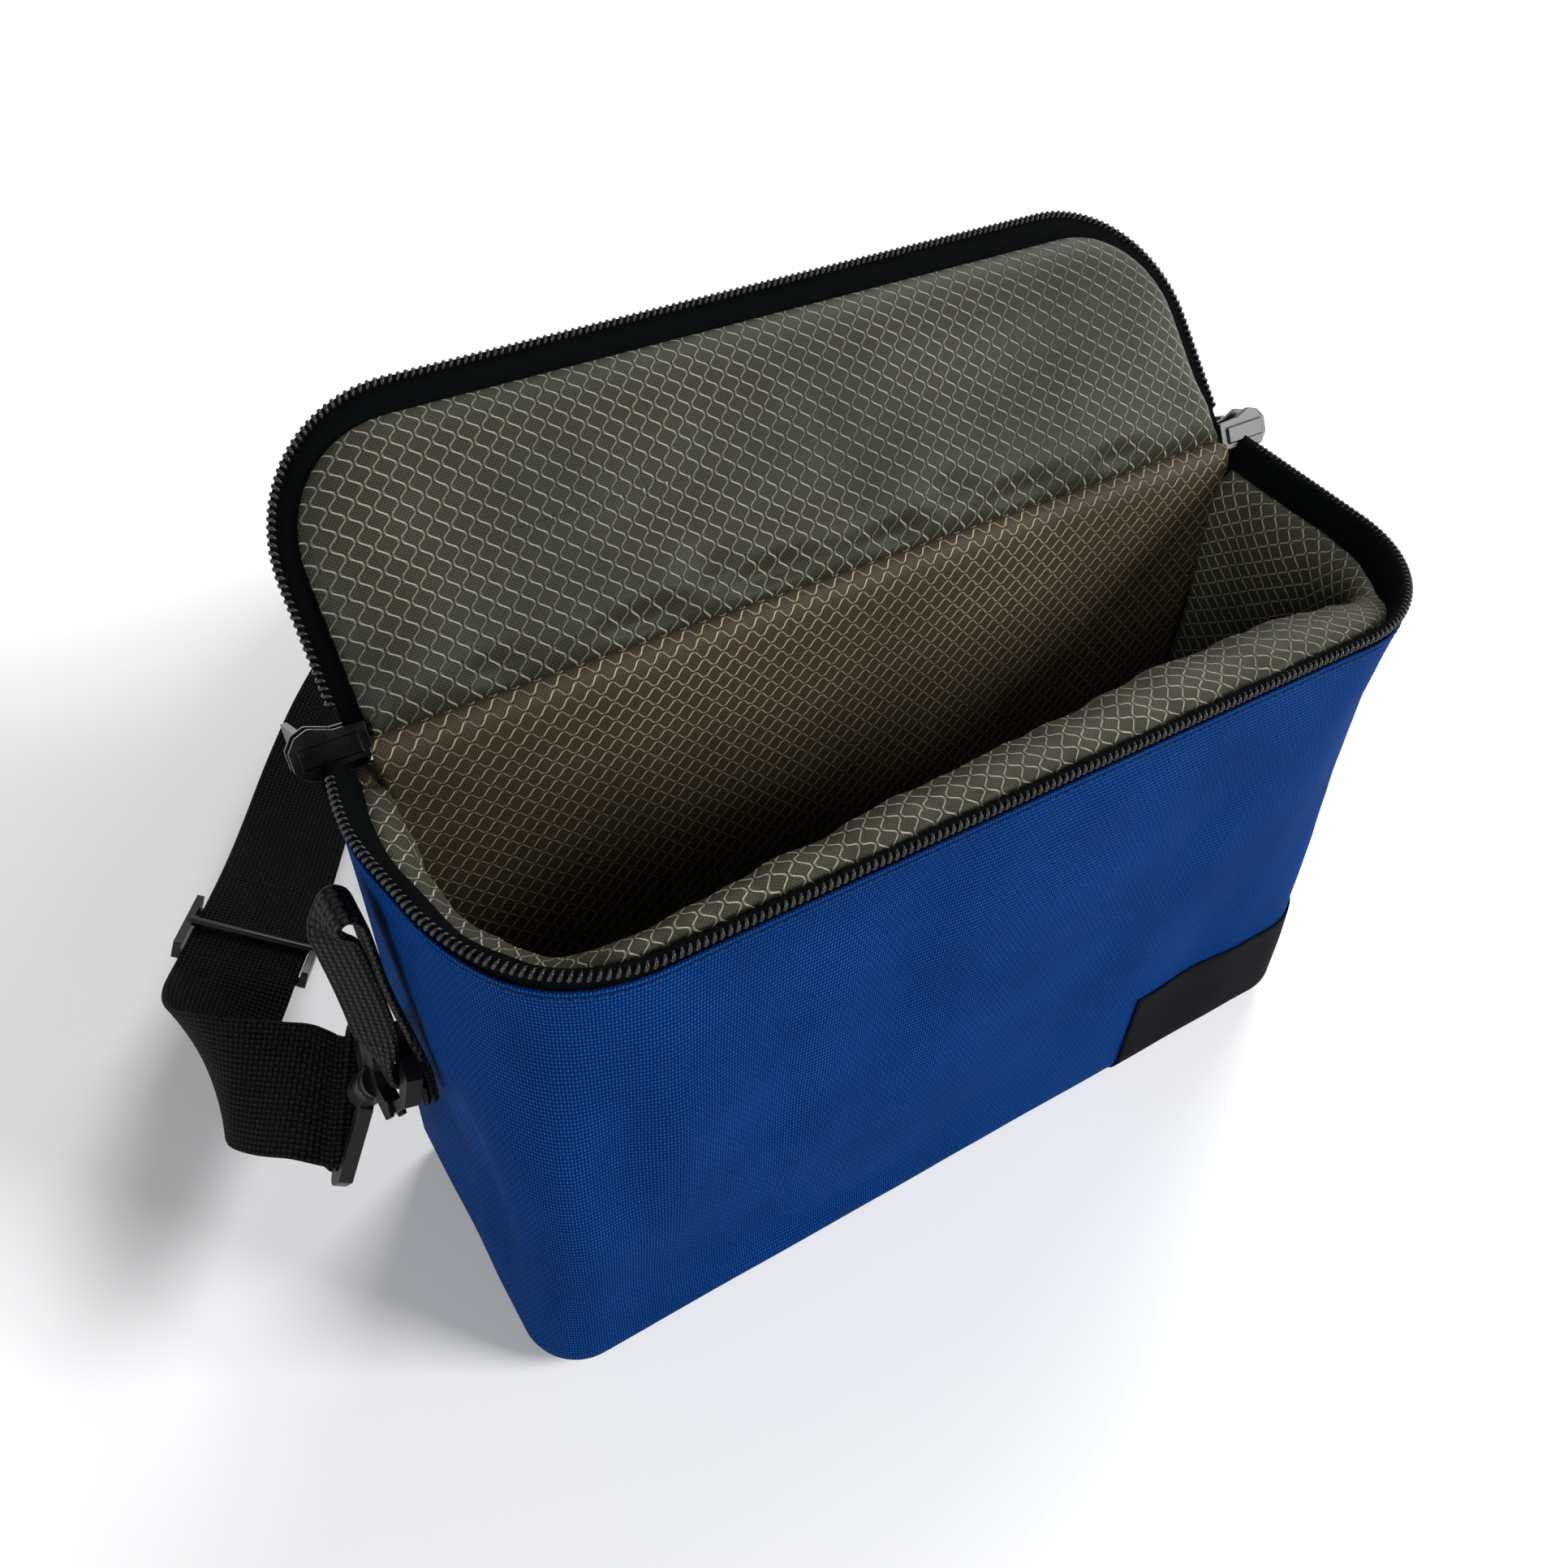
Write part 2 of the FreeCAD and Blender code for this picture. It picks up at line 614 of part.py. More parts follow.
def hook_frame(side, at):
    body = new_body("hook_frame_" + side)
    back = "-bar_gauge / 2"
    slot_side = "fold_bore + fold_gauge + fold_room"
    outer = [(f"-{FRAME_HALF} - frame_rail", back), (f"{FRAME_HALF} + frame_rail", back),
             (f"{FRAME_HALF} + frame_rail", "frame_side"), ("frame_apex", f"{FRAME_TOP} + frame_rail"),
             ("-frame_apex", f"{FRAME_TOP} + frame_rail"), (f"-{FRAME_HALF} - frame_rail", "frame_side")]
    inner = [(f"-{FRAME_HALF}", "bar_gauge / 2"), (FRAME_HALF, "bar_gauge / 2"), (FRAME_HALF, slot_side),
             ("frame_apex - frame_apex_lean", FRAME_TOP), ("frame_apex_lean - frame_apex", FRAME_TOP),
             (f"-{FRAME_HALF}", slot_side)]
    plate = pad(body, polygon(body, "XZ_Plane", "-bar_gauge / 2", outer), "bar_gauge")
    foot = size(back)
    round_edges(body, plate, Vector(0, 1, 0), "frame_round", lambda point: abs(point.z - foot) < 1e-6)
    pocket(body, polygon(body, "XZ_Plane", "bar_gauge / 2", inner), "bar_gauge")
    post(body, FRAME_TOP, SOCKET_TOP, "socket_radius")
    post(body, f"{FRAME_TOP} - overrun", f"{SOCKET_TOP} + overrun", "pin_radius + running_fit",
         "SubtractiveCylinder")
    keep(body, "hook_frame_" + side, at)


def hook_body(side, at):
    body = new_body("hook_body_" + side)
    head_top = f"({FRAME_TOP} - end_play)"
    post(body, f"{head_top} - pin_head_height", head_top, "pin_head_radius")
    post(body, f"{head_top} - overrun", f"{COLLAR_LOW} + overrun", "pin_radius")
    post(body, COLLAR_LOW, COLLAR_TOP, "socket_radius")
    half = "throat_width / 2"
    shoulder = f"{COLLAR_TOP} + hook_shoulder"
    brow = f"{CROWN} - hook_chamfer"
    outer = [("-hook_root", f"{COLLAR_TOP} - overrun"), ("hook_root", f"{COLLAR_TOP} - overrun"),
             (HOOK_HALF, shoulder), (HOOK_HALF, brow), ("hook_top_half", CROWN),
             ("-hook_top_half", CROWN), (f"-{HOOK_HALF}", brow), (f"-{HOOK_HALF}", shoulder)]
    floor, side_low, side_high = (f"{COLLAR_TOP} + throat_floor", f"{COLLAR_TOP} + throat_side",
                                  f"{THROAT} - throat_ease")
    inner = [("-throat_floor_half", floor), ("throat_floor_half", floor), (half, side_low), (half, side_high),
             (f"{half} - throat_ease", THROAT), (f"throat_ease - {half}", THROAT), (f"-{half}", side_high),
             (f"-{half}", side_low)]
    past, inside = f"-{HOOK_HALF} - overrun", f"overrun - {half}"
    mouth = [(past, f"{COLLAR_TOP} + mouth_low"), (inside, f"{COLLAR_TOP} + mouth_low"),
             (inside, f"{THROAT} - mouth_lip"), (past, f"{THROAT} - mouth_lip")]
    slot_top = f"{COLLAR_TOP} + mouth_low + overrun"
    slot = [(past, floor), (inside, floor), (inside, slot_top), (past, slot_top)]
    pad(body, polygon(body, "XZ_Plane", "-hook_gauge / 2", outer), "hook_gauge")
    pocket(body, polygon(body, "XZ_Plane", "hook_gauge / 2", inner), "hook_gauge")
    pocket(body, polygon(body, "XZ_Plane", "hook_gauge / 2", mouth), "hook_gauge")
    pocket(body, polygon(body, "XZ_Plane", "gate_slot / 2", slot), "gate_slot")
    hole = circle(body, "XZ_Plane", "hook_gauge / 2", f"-{GATE_X}", GATE_PIN_Z, "gate_pin_radius")
    pocket(body, hole, "hook_gauge")
    keep(body, "hook_body_" + side, at)

    axle = new_body("gate_pin_" + side)
    pad(axle, circle(axle, "XZ_Plane", "-hook_gauge / 2", f"-{GATE_X}", GATE_PIN_Z, "gate_pin_radius"),
        "hook_gauge")
    keep(axle, "gate_pin_" + side, at)

    gate = new_body("hook_gate_" + side)
    outside, within = f"-{GATE_X} - gate_gauge / 2", f"gate_gauge / 2 - {GATE_X}"
    foot, tip = f"{GATE_PIN_Z} - gate_foot", f"{THROAT} - mouth_lip - end_play"
    bar = polygon(gate, "XZ_Plane", "-gate_thickness / 2", [
        (outside, foot), (within, foot), (within, tip), (outside, tip)])
    pad(gate, bar, "gate_thickness")
    bore = circle(gate, "XZ_Plane", "gate_thickness / 2", f"-{GATE_X}", GATE_PIN_Z,
                  "gate_pin_radius + running_fit")
    pocket(gate, bore, "gate_thickness")
    keep(gate, "hook_gate_" + side, at)


def strap_fold(side, at):
    """The webbing where it is folded round the frame's bar and sewn back on itself."""
    body = new_body("strap_fold_" + side)
    ring = circle(body, "YZ_Plane", "-strap_width / 2", "0", "0", "fold_bore + fold_gauge")
    pad(body, ring, "strap_width")
    pocket(body, circle(body, "YZ_Plane", "strap_width / 2", "0", "0", "fold_bore"), "strap_width")
    keep(body, "strap_fold_" + side, at)


# Direction of the left bar, from its front end to its back end
BAR_LINE = Vector(0.449, 0.844, 0.294)
BAR_X = "(bag_width / 2 + bar_out)"


def clip_set(side, sign):
    """One hook with its frame, held where the strap meets the side loop."""
    middle = Vector(sign * size(BAR_X), size("bar_y"), size("bar_z"))
    crown = Vector(sign * size("bag_width / 2 + crown_out"), size("crown_y"), size("crown_z"))
    shank = (crown - middle).normalize()
    bar = Vector(-sign * BAR_LINE.x, BAR_LINE.y, BAR_LINE.z)
    bar = (bar - shank * bar.dot(shank)).normalize()
    across = Vector(0, 1, 0)
    across = (across - shank * across.dot(shank)).normalize()
    frame_place = toward(middle, bar, shank)
    hook_frame(side, frame_place)
    hook_body(side, toward(middle, across, shank))
    strap_fold(side, frame_place)


# Shoulder strap: flat webbing from one hook frame, round behind the bag, to the other

# Left half, top edge then bottom edge: from the left frame to the slide buckle, then to the middle
# behind the bag. It is laid out for this middle of the bar, and follows the bar where that moves.
ROUTE_BAR = Vector(-171.5, 33, 64)
ROUTE_TO_GLIDE = [
    ((-166.6, 52, 71.2), (-183.7, 19.8, 60)),
    ((-172, 55, 76), (-191, 26.5, 60)),
    ((-180, 59.5, 78), (-199, 35, 55.5)),
    ((-191, 66.5, 78.5), (-204.5, 45.5, 49.5)),
    ((-199.5, 76, 75), (-203.5, 56.5, 42.5)),
    ((-205, 86, 68.5), (-198.5, 67, 36.5)),
    ((-207, 96.5, 61.5), (-191, 77, 32.5)),
    ((-206, 107.5, 54), (-183, 87.5, 31)),
    ((-203, 118, 47), (-175, 97.5, 31)),
    ((-197.8, 128.7, 42.4), (-167.3, 108.1, 30.9)),
]
ROUTE_BEYOND = [
    ((-175.8, 166.8, 30.8), (-145.3, 146.2, 19.3)),
    ((-159, 198, 23), (-127.5, 178, 13.5)),
    ((-139, 225.5, 26), (-111.5, 207, 7)),
    ((-117, 249.5, 31.5), (-96.5, 236, 3)),
    ((-92, 271, 37), (-80, 264.5, 2)),
    ((-64, 289, 41.5), (-59.5, 290.5, 4)),
    ((-33, 300.5, 45), (-32.5, 309, 8)),
    ((0, 303, 46), (0, 314, 9.5)),
]
GLIDE_ENDS = (len(ROUTE_TO_GLIDE) - 1, len(ROUTE_TO_GLIDE))


def beside_bar(point):
    """A point of the route, moved with the bar."""
    x, y, z = point
    return Vector(-x * size(BAR_X) / ROUTE_BAR.x, y + size("bar_y") - ROUTE_BAR.y,
                  z * size("bar_z") / ROUTE_BAR.z)


def strap_stations():
    """Middle, edge direction and run direction at every station, left hook to right hook."""
    left = [(beside_bar(top), beside_bar(low)) for top, low in ROUTE_TO_GLIDE + ROUTE_BEYOND]
    right = [(Vector(-top.x, top.y, top.z), Vector(-low.x, low.y, low.z)) for top, low in reversed(left[:-1])]
    edges = left + right
    middles = [(top + low) * 0.5 for top, low in edges]
    last = len(edges) - 1
    stations = []
    for i, (top, low) in enumerate(edges):
        before, after = GLIDE_ENDS if i in GLIDE_ENDS else (max(i - 1, 0), min(i + 1, last))
        run = (middles[after] - middles[before]).normalize()
        stations.append((middles[i], (top - low).normalize(), run))
    return stations


def shoulder_strap(stations):
    """Ruled faces from one thin rectangle of webbing to the next, sewn into one solid."""
    half_width = size("strap_width / 2")
    half_gauge = size("strap_gauge / 2")
    wires = []
    for middle, edge, run in stations:
        face = edge.cross(run).normalize()
        corners = [middle + edge * (half_width * i) + face * (half_gauge * j)
                   for i, j in ((-1, -1), (-1, 1), (1, 1), (1, -1))]
        wires.append(Part.makePolygon(corners + corners[:1]))
    feature = doc.addObject("Part::Feature", "shoulder_strap")
    faces = [Part.makeRuledSurface(start, end)
             for first, second in zip(wires, wires[1:])
             for start, end in zip(first.Edges, second.Edges)]
    skin = Part.makeShell(faces + [Part.Face(wires[0]), Part.Face(wires[-1])])
    skin.sewShape()
    feature.Shape = Part.makeSolid(skin)
    keep(feature, "shoulder_strap")
    length = sum((b[0] - a[0]).Length for a, b in zip(stations, stations[1:]))
    print(f"shoulder strap: {length:.0f} mm of webbing between the hook frames")


def tri_glide(stations):
    """Slide buckle: two rails and three bars, two over the webbing and one under it."""
    first, second = (stations[i] for i in GLIDE_ENDS)
    run = (second[0] - first[0]).normalize()
    edge = (first[1] - run * first[1].dot(run)).normalize()
    face = edge.cross(run)
    middle = first[0] + run * size("glide_length / 2 + glide_start")
    body = new_body("tri_glide")
    inner = "(strap_width / 2 + glide_side_gap)"
    lift = "(strap_gauge / 2 + glide_clearance + glide_bar)"
    end = "(glide_length / 2)"
    for low, high in ((f"-{inner} - glide_rail", f"-{inner}"), (inner, f"{inner} + glide_rail")):
        rail = polygon(body, "XZ_Plane", f"-{end}", [(low, f"-{lift} - glide_bar / 2"),
                       (high, f"-{lift} - glide_bar / 2"), (high, f"{lift} + glide_bar / 2"),
                       (low, f"{lift} + glide_bar / 2")])
        pad(body, rail, "glide_length")
    for along, height in ((f"-{end} + glide_bar", lift), ("0", f"-{lift}"), (f"{end} - glide_bar", lift)):
        bar = circle(body, "YZ_Plane", f"-{inner} - glide_rail / 2", along, height, "glide_bar")
        pad(body, bar, f"2 * {inner} + glide_rail")
    keep(body, "tri_glide", toward(middle, edge, face))


# Zip sliders: they lie across the back corners with their noses outward

def slider_place(sign):
    tilt = math.radians(size("slider_tilt"))
    normal = Vector(0, -math.sin(tilt), math.cos(tilt))
    centre = Vector(sign * (size("bag_width / 2 - slider_length / 2 + slider_overhang")),
                    size(f"{HINGE_Y} + slider_behind"), size(f"{HINGE_Z} + slider_above"))
    return toward(centre, Vector(sign, 0, 0), normal)


TAIL = "-slider_length / 2"
NOSE = "slider_length / 2"


def slider_outline(body, offset):
    half = [(TAIL, "slider_tail_half"), (f"{TAIL} + slider_waist", "slider_waist_half"),
            (f"{NOSE} - slider_broad", "slider_width / 2"), (f"{NOSE} - slider_shoulder", "slider_nose_half"),
            (NOSE, "slider_tip_half")]
    other = [(x, f"-({y})") for x, y in reversed(half)]
    return polygon(body, "XY_Plane", offset, half + other)


def oblong(body, role, offset, first, last, low, high):
    """A four-cornered outline between two limits each way."""
    return polygon(body, role, offset, [(first, low), (last, low), (last, high), (first, high)])


def zip_slider(side, sign):
    at = slider_place(sign)
    gap = "slider_channel / 2"
    body = new_body("zip_slider_" + side)
    pad(body, slider_outline(body, f"-{gap} - slider_plate"), "slider_plate")
    bridge = oblong(body, "XY_Plane", f"-{gap} - slider_plate / 2", f"{NOSE} - bridge_set - bridge_length",
                    f"{NOSE} - bridge_set", "-bridge_half", "bridge_half")
    pad(body, bridge, "slider_channel + slider_plate")
    pad(body, slider_outline(body, gap), "slider_plate")
    ridge = oblong(body, "XY_Plane", f"{gap} + slider_plate / 2", f"{TAIL} + ridge_tail",
                   f"{NOSE} - ridge_nose", "-ridge_half", "ridge_half")
    pad(body, ridge, "slider_plate")
    # Two cheeks behind the plate carry the pin of the pull tab
    pin_z = f"(-{gap} - slider_plate - tab_pin_drop)"
    cheek_in = "(tab_neck / 2 + tab_side_gap)"
    for low in (f"-{cheek_in} - cheek_gauge", cheek_in):
        cheek = oblong(body, "XZ_Plane", f"-({low}) - cheek_gauge", "tab_pin_along - cheek_half",
                       "tab_pin_along + cheek_half", f"{pin_z} - cheek_cover", f"-{gap} - slider_plate / 4")
        pad(body, cheek, "cheek_gauge")
    pin_line = circle(body, "XZ_Plane", f"-{cheek_in} - cheek_gauge / 2", "tab_pin_along", pin_z,
                      "tab_pin_radius")
    pad(body, pin_line, f"2 * {cheek_in} + cheek_gauge")
    keep(body, "zip_slider_" + side, at)

    tab = new_body("pull_tab_" + side)
    bore_radius = "tab_pin_radius + running_fit"
    knuckle = circle(tab, "XZ_Plane", "-tab_neck / 2", "tab_pin_along", pin_z,
                     f"{bore_radius} + knuckle_wall")
    pad(tab, knuckle, "tab_neck")
    faces = ("tab_pin_along - tab_gauge / 2", "tab_pin_along + tab_gauge / 2")
    neck = oblong(tab, "XZ_Plane", "-tab_neck / 2", *faces, f"{pin_z} - tab_neck_length - overrun",
                  f"{pin_z} - knuckle_wall")
    pad(tab, neck, "tab_neck")
    grip = oblong(tab, "XZ_Plane", "-tab_width / 2", *faces, f"{pin_z} - tab_length",
                  f"{pin_z} - tab_neck_length")
    pad(tab, grip, "tab_width")
    pocket(tab, circle(tab, "XZ_Plane", "tab_neck / 2", "tab_pin_along", pin_z, bore_radius), "tab_neck")
    keep(tab, "pull_tab_" + side, at)

    # The short closed end of the zip that runs through the slider and is sewn down on the back wall
    chain = new_body("zip_end_" + side)
    ends = (f"{TAIL} + chain_tail", f"{NOSE} - chain_nose")
    drop = f"({HINGE_Z} + slider_above - ({BACK_TOP})) / sin(slider_tilt * 1 deg)"
    foot = f"{sign} * (tape_gauge / 2 - {drop})"
    tape = oblong(chain, "XY_Plane", "-tape_gauge / 2", *ends, foot, f"{sign} * chain_width / 2")
    pad(chain, tape, "tape_gauge")
    coil = oblong(chain, "XY_Plane", "-chain_height / 2", *ends, "-chain_width / 2", "chain_width / 2")
    pad(chain, coil, "chain_height")
    keep(chain, "zip_end_" + side, at)


stations = strap_stations()
shoulder_strap(stations)
tri_glide(stations)
for side, sign in (("left", -1), ("right", 1)):
    side_loop(side, sign)
    clip_set(side, sign)
    zip_slider(side, sign)


# Check every object, then write one file for each sub-part

doc.recompute()
for thing in doc.Objects:
    if "Invalid" in thing.State or "Error" in thing.State:
        raise RuntimeError(f"{thing.Label} failed: {thing.State}")
for piece in sub_parts:
    if piece.Shape.isNull() or not piece.Shape.isValid() or not piece.Shape.Solids:
        raise RuntimeError(piece.Label + " has no valid solid")

os.makedirs("parts", exist_ok=True)
for piece in sub_parts:
    piece.Shape.exportStep(f"parts/{piece.Label}.step")
print(len(sub_parts), "sub-parts written")
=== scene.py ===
import math

import bpy
import numpy as np
from mathutils import Matrix, Vector, noise


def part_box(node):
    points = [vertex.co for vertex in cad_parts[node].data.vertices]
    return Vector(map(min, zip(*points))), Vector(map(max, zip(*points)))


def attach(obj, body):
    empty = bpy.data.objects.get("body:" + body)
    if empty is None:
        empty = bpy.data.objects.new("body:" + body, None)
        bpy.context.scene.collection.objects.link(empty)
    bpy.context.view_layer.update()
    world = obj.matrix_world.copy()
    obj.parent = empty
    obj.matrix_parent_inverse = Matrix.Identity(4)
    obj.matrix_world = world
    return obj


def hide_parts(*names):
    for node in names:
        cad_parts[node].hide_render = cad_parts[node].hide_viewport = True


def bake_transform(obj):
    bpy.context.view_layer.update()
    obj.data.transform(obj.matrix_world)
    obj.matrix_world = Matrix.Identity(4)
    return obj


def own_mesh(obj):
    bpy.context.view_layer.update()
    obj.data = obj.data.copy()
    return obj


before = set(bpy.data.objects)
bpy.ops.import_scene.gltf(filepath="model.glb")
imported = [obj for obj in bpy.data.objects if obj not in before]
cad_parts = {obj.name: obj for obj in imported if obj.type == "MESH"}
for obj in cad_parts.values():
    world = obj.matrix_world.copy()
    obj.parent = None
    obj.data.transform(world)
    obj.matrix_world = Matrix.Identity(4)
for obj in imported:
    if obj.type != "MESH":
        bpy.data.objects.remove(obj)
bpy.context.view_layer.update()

# %% [markdown]
# A padded zip-lid bag, its lid thrown open, with a clip-on shoulder strap.
# The rigid frame is already in the scene, in metres. Everything below is cloth, zip, webbing and finish.
# We think in millimetres, because that is how a bag maker thinks, and divide by 1000 at the last moment.

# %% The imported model's size, and the few sizes that everything follows
MM = 0.001
HALF_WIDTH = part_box("shell_back")[1].x / MM
HALF_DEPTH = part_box("shell_back")[1].y / MM
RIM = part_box("shell_wrap")[1].z / MM
BACK_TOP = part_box("shell_back")[1].z / MM
HINGE_Y = HALF_DEPTH - 8
HINGE_Z = RIM + 1.6
LID_OPEN = math.radians(137)
print(f"bag {2 * HALF_WIDTH:.0f} x {2 * HALF_DEPTH:.0f} mm, rim at {RIM:.1f} mm")

# %% [markdown]
# The camera stands close to the bag's front left corner and looks steeply down, a little tilted.
# A bag's vanishing points were used to find its place, so the values are plain angles and millimetres.
# It could be turned by hand in the viewport, but three directions in a matrix say exactly how it looks.

# %% Camera
LOOK_AZIMUTH = math.radians(-34.65)
LOOK_DOWN = math.radians(46.05)
ROLL = math.radians(3.97)
CAMERA_PLACE = Vector((-194.3, -209.6, 429.2)) * MM
LENS = 32.71

forward = Vector((-math.sin(LOOK_AZIMUTH) * math.cos(LOOK_DOWN),
                  math.cos(LOOK_AZIMUTH) * math.cos(LOOK_DOWN), -math.sin(LOOK_DOWN)))
right = forward.cross(Vector((0, 0, 1))).normalized()
up = right.cross(forward)
right, up = (right * math.cos(ROLL) + up * math.sin(ROLL), up * math.cos(ROLL) - right * math.sin(ROLL))
camera = bpy.data.objects.new("camera", bpy.data.cameras.new("camera"))
camera.matrix_world = Matrix((right, up, -forward)).transposed().to_4x4()
camera.location = CAMERA_PLACE
camera.data.lens = LENS
camera.data.clip_start = 0.01
bpy.context.scene.collection.objects.link(camera)
bpy.context.scene.camera = camera
bpy.context.scene.view_settings.view_transform = "Standard"
print(f"camera {CAMERA_PLACE.length:.2f} m from the bag's middle, lens {LENS} mm")

# %% [markdown]
# The surround is a pale studio. What the camera sees of it is pure white, and the light that it gives is
# weak. One plain world colour could do both jobs, but the white that the picture needs would then wash
# out every fold. So a Light Path node tells the two kinds of ray apart.

# %% Surround
SURROUND_LIGHT = 0.10


def white_to_the_eye(tree):
    """1 for rays from the camera, a mirror or glass, and 0 for rays that light things."""
    rays = tree.nodes.new("ShaderNodeLightPath")
    seen = rays.outputs["Is Camera Ray"]
    for other in ("Is Glossy Ray", "Is Transmission Ray"):
        either = tree.nodes.new("ShaderNodeMath")
        either.operation = "MAXIMUM"
        tree.links.new(seen, either.inputs[0])
        tree.links.new(rays.outputs[other], either.inputs[1])
        seen = either.outputs[0]
    return seen


world = bpy.data.worlds.new("surround")
bpy.context.scene.world = world
world.use_nodes = True
background = world.node_tree.nodes["Background"]
background.inputs["Color"].default_value = (1, 1, 1, 1)
strength = world.node_tree.nodes.new("ShaderNodeMapRange")
strength.inputs["To Min"].default_value = SURROUND_LIGHT
strength.inputs["To Max"].default_value = 1.0
world.node_tree.links.new(white_to_the_eye(world.node_tree), strength.inputs["Value"])
world.node_tree.links.new(strength.outputs["Result"], background.inputs["Strength"])
print(f"surround: gives {SURROUND_LIGHT:.0%} of the light that it shows")

# %% [markdown]
# The light: one broad lamp high on the right, a second behind it that lays the shadow to the front left,
# and a weak one for the left side. A picture of a studio could light the bag too, but area lamps are
# easy to place, and their size alone sets how soft a shadow's edge is.

# %% Lamps
LAMPS_AIM = Vector((0, 0.02, 0.1))


def lamp(name, place, size, watts):
    """A square soft lamp that points at the bag."""
    data = bpy.data.lights.new(name, "AREA")
    data.size = size
    data.energy = watts
    thing = bpy.data.objects.new(name, data)
    thing.location = place
    thing.rotation_euler = (LAMPS_AIM - Vector(place)).to_track_quat("-Z", "Y").to_euler()
    bpy.context.scene.collection.objects.link(thing)


lamp("key", (3.2, -2.75, 2.15), 1.8, 308)
lamp("back_right", (2.2, 1.7, 2.6), 1.8, 96)
lamp("left_fill", (-2.0, -1.0, 0.9), 1.0, 38)
for light in bpy.data.lights:
    print(f"{light.name}: {light.energy:.0f} W, {light.size:.1f} m wide")

# %% [markdown]
# The floor shows white to the camera but still takes the bag's shadow. A white card under these lamps
# would come out grey, and brighter lamps would bleach the bag. So the card glows a little, only for
# camera, mirror and glass rays, which puts no extra light on the bag. The glow grows with the distance
# from the bag, so that the floor has no far edge.

# %% Floor
FLOOR_HALF = 6
FLOOR_GREY = (0.82, 0.82, 0.83, 1)
# Distance from the bag's middle where the floor's glow starts to grow and where it is white, in metres
GLOW_FROM, GLOW_TO = 0.30, 1.2
LEAST_GLOW = 0.06

floor_mesh = bpy.data.meshes.new("floor")
floor_corners = [(x * FLOOR_HALF, y * FLOOR_HALF, 0) for x, y in ((-1, -1), (1, -1), (1, 1), (-1, 1))]
floor_mesh.from_pydata(floor_corners, [], [(0, 1, 2, 3)])
floor = bpy.data.objects.new("floor", floor_mesh)
bpy.context.scene.collection.objects.link(floor)
floor_finish = bpy.data.materials.new("floor")
floor_finish.use_nodes = True
tree = floor_finish.node_tree
paper = tree.nodes["Principled BSDF"]
paper.inputs["Base Color"].default_value = FLOOR_GREY
paper.inputs["Roughness"].default_value = 1.0
paper.inputs["Specular IOR Level"].default_value = 0.0
paper.inputs["Emission Color"].default_value = (1, 1, 1, 1)
spot = tree.nodes.new("ShaderNodeNewGeometry")
away = tree.nodes.new("ShaderNodeVectorMath")
away.operation = "LENGTH"
tree.links.new(spot.outputs["Position"], away.inputs[0])
glow = tree.nodes.new("ShaderNodeMapRange")
for word, value in (("From Min", GLOW_FROM), ("From Max", GLOW_TO), ("To Min", LEAST_GLOW), ("To Max", 1.0)):
    glow.inputs[word].default_value = value
tree.links.new(away.outputs["Value"], glow.inputs["Value"])
seen_glow = tree.nodes.new("ShaderNodeMath")
seen_glow.operation = "MULTIPLY"
tree.links.new(glow.outputs["Result"], seen_glow.inputs[0])
tree.links.new(white_to_the_eye(tree), seen_glow.inputs[1])
tree.links.new(seen_glow.outputs[0], paper.inputs["Emission Strength"])
floor.data.materials.append(floor_finish)
print(f"floor: {2 * FLOOR_HALF} m wide, white from {GLOW_TO} m out")

# %% [markdown]
# Shader arithmetic gets long when every Math node is wired by hand. This small class lets a formula be
# written as a formula: each sum or product adds one Math node, and the result is again such a value.

# %% Formulas as nodes
class Value:
    """A number that changes over the surface, inside one node tree."""

    def __init__(self, tree, socket):
        self.tree = tree
        self.socket = socket

    def math(self, operation, *others):
        node = self.tree.nodes.new("ShaderNodeMath")
        node.operation = operation
        for pin, item in zip(node.inputs, (self, *others)):
            if isinstance(item, Value):
                self.tree.links.new(item.socket, pin)
            else:
                pin.default_value = item
        return Value(self.tree, node.outputs[0])

    def __add__(self, other):
        return self.math("ADD", other)

    def __sub__(self, other):
        return self.math("SUBTRACT", other)

    def __mul__(self, other):
        return self.math("MULTIPLY", other)

    def __truediv__(self, other):
        return self.math("DIVIDE", other)

    def flip(self):
        """One minus the value."""
        return self.math("MULTIPLY_ADD", -1.0, 1.0)

    def ramp(self, low, high):
        """0 below low, 1 above high, and smooth between."""
        node = self.tree.nodes.new("ShaderNodeMapRange")
        node.interpolation_type = "SMOOTHSTEP"
        self.tree.links.new(self.socket, node.inputs["Value"])
        node.inputs["From Min"].default_value = low
        node.inputs["From Max"].default_value = high
        return Value(self.tree, node.outputs["Result"])

# %% [markdown]
# A pattern that several finishes share goes into a node group, with its own numbers as sockets. The nodes
# could be copied into each material, but then a change would have to be made in all of them. This helper
# makes the empty group: a place on the cloth goes in, and named masks come out.

# %% New groups
def new_group(name, inputs, outputs):
    """An empty shader node group with named sockets; inputs pair a name with its first value."""
    group = bpy.data.node_groups.new(name, "ShaderNodeTree")
    group.interface.new_socket("Place", in_out="INPUT", socket_type="NodeSocketVector")
    for word, number in inputs:
        group.interface.new_socket(word, in_out="INPUT", socket_type="NodeSocketFloat").default_value = number
    for word in outputs:
        group.interface.new_socket(word, in_out="OUTPUT", socket_type="NodeSocketFloat")
    entry = group.nodes.new("NodeGroupInput")
    leave = group.nodes.new("NodeGroupOutput")
    split = group.nodes.new("ShaderNodeSeparateXYZ")
    group.links.new(entry.outputs["Place"], split.inputs[0])
    across = Value(group, split.outputs["X"])
    along = Value(group, split.outputs["Y"])
    pins = {word: Value(group, entry.outputs[word]) for word, _ in inputs}
    return group, leave, across, along, pins


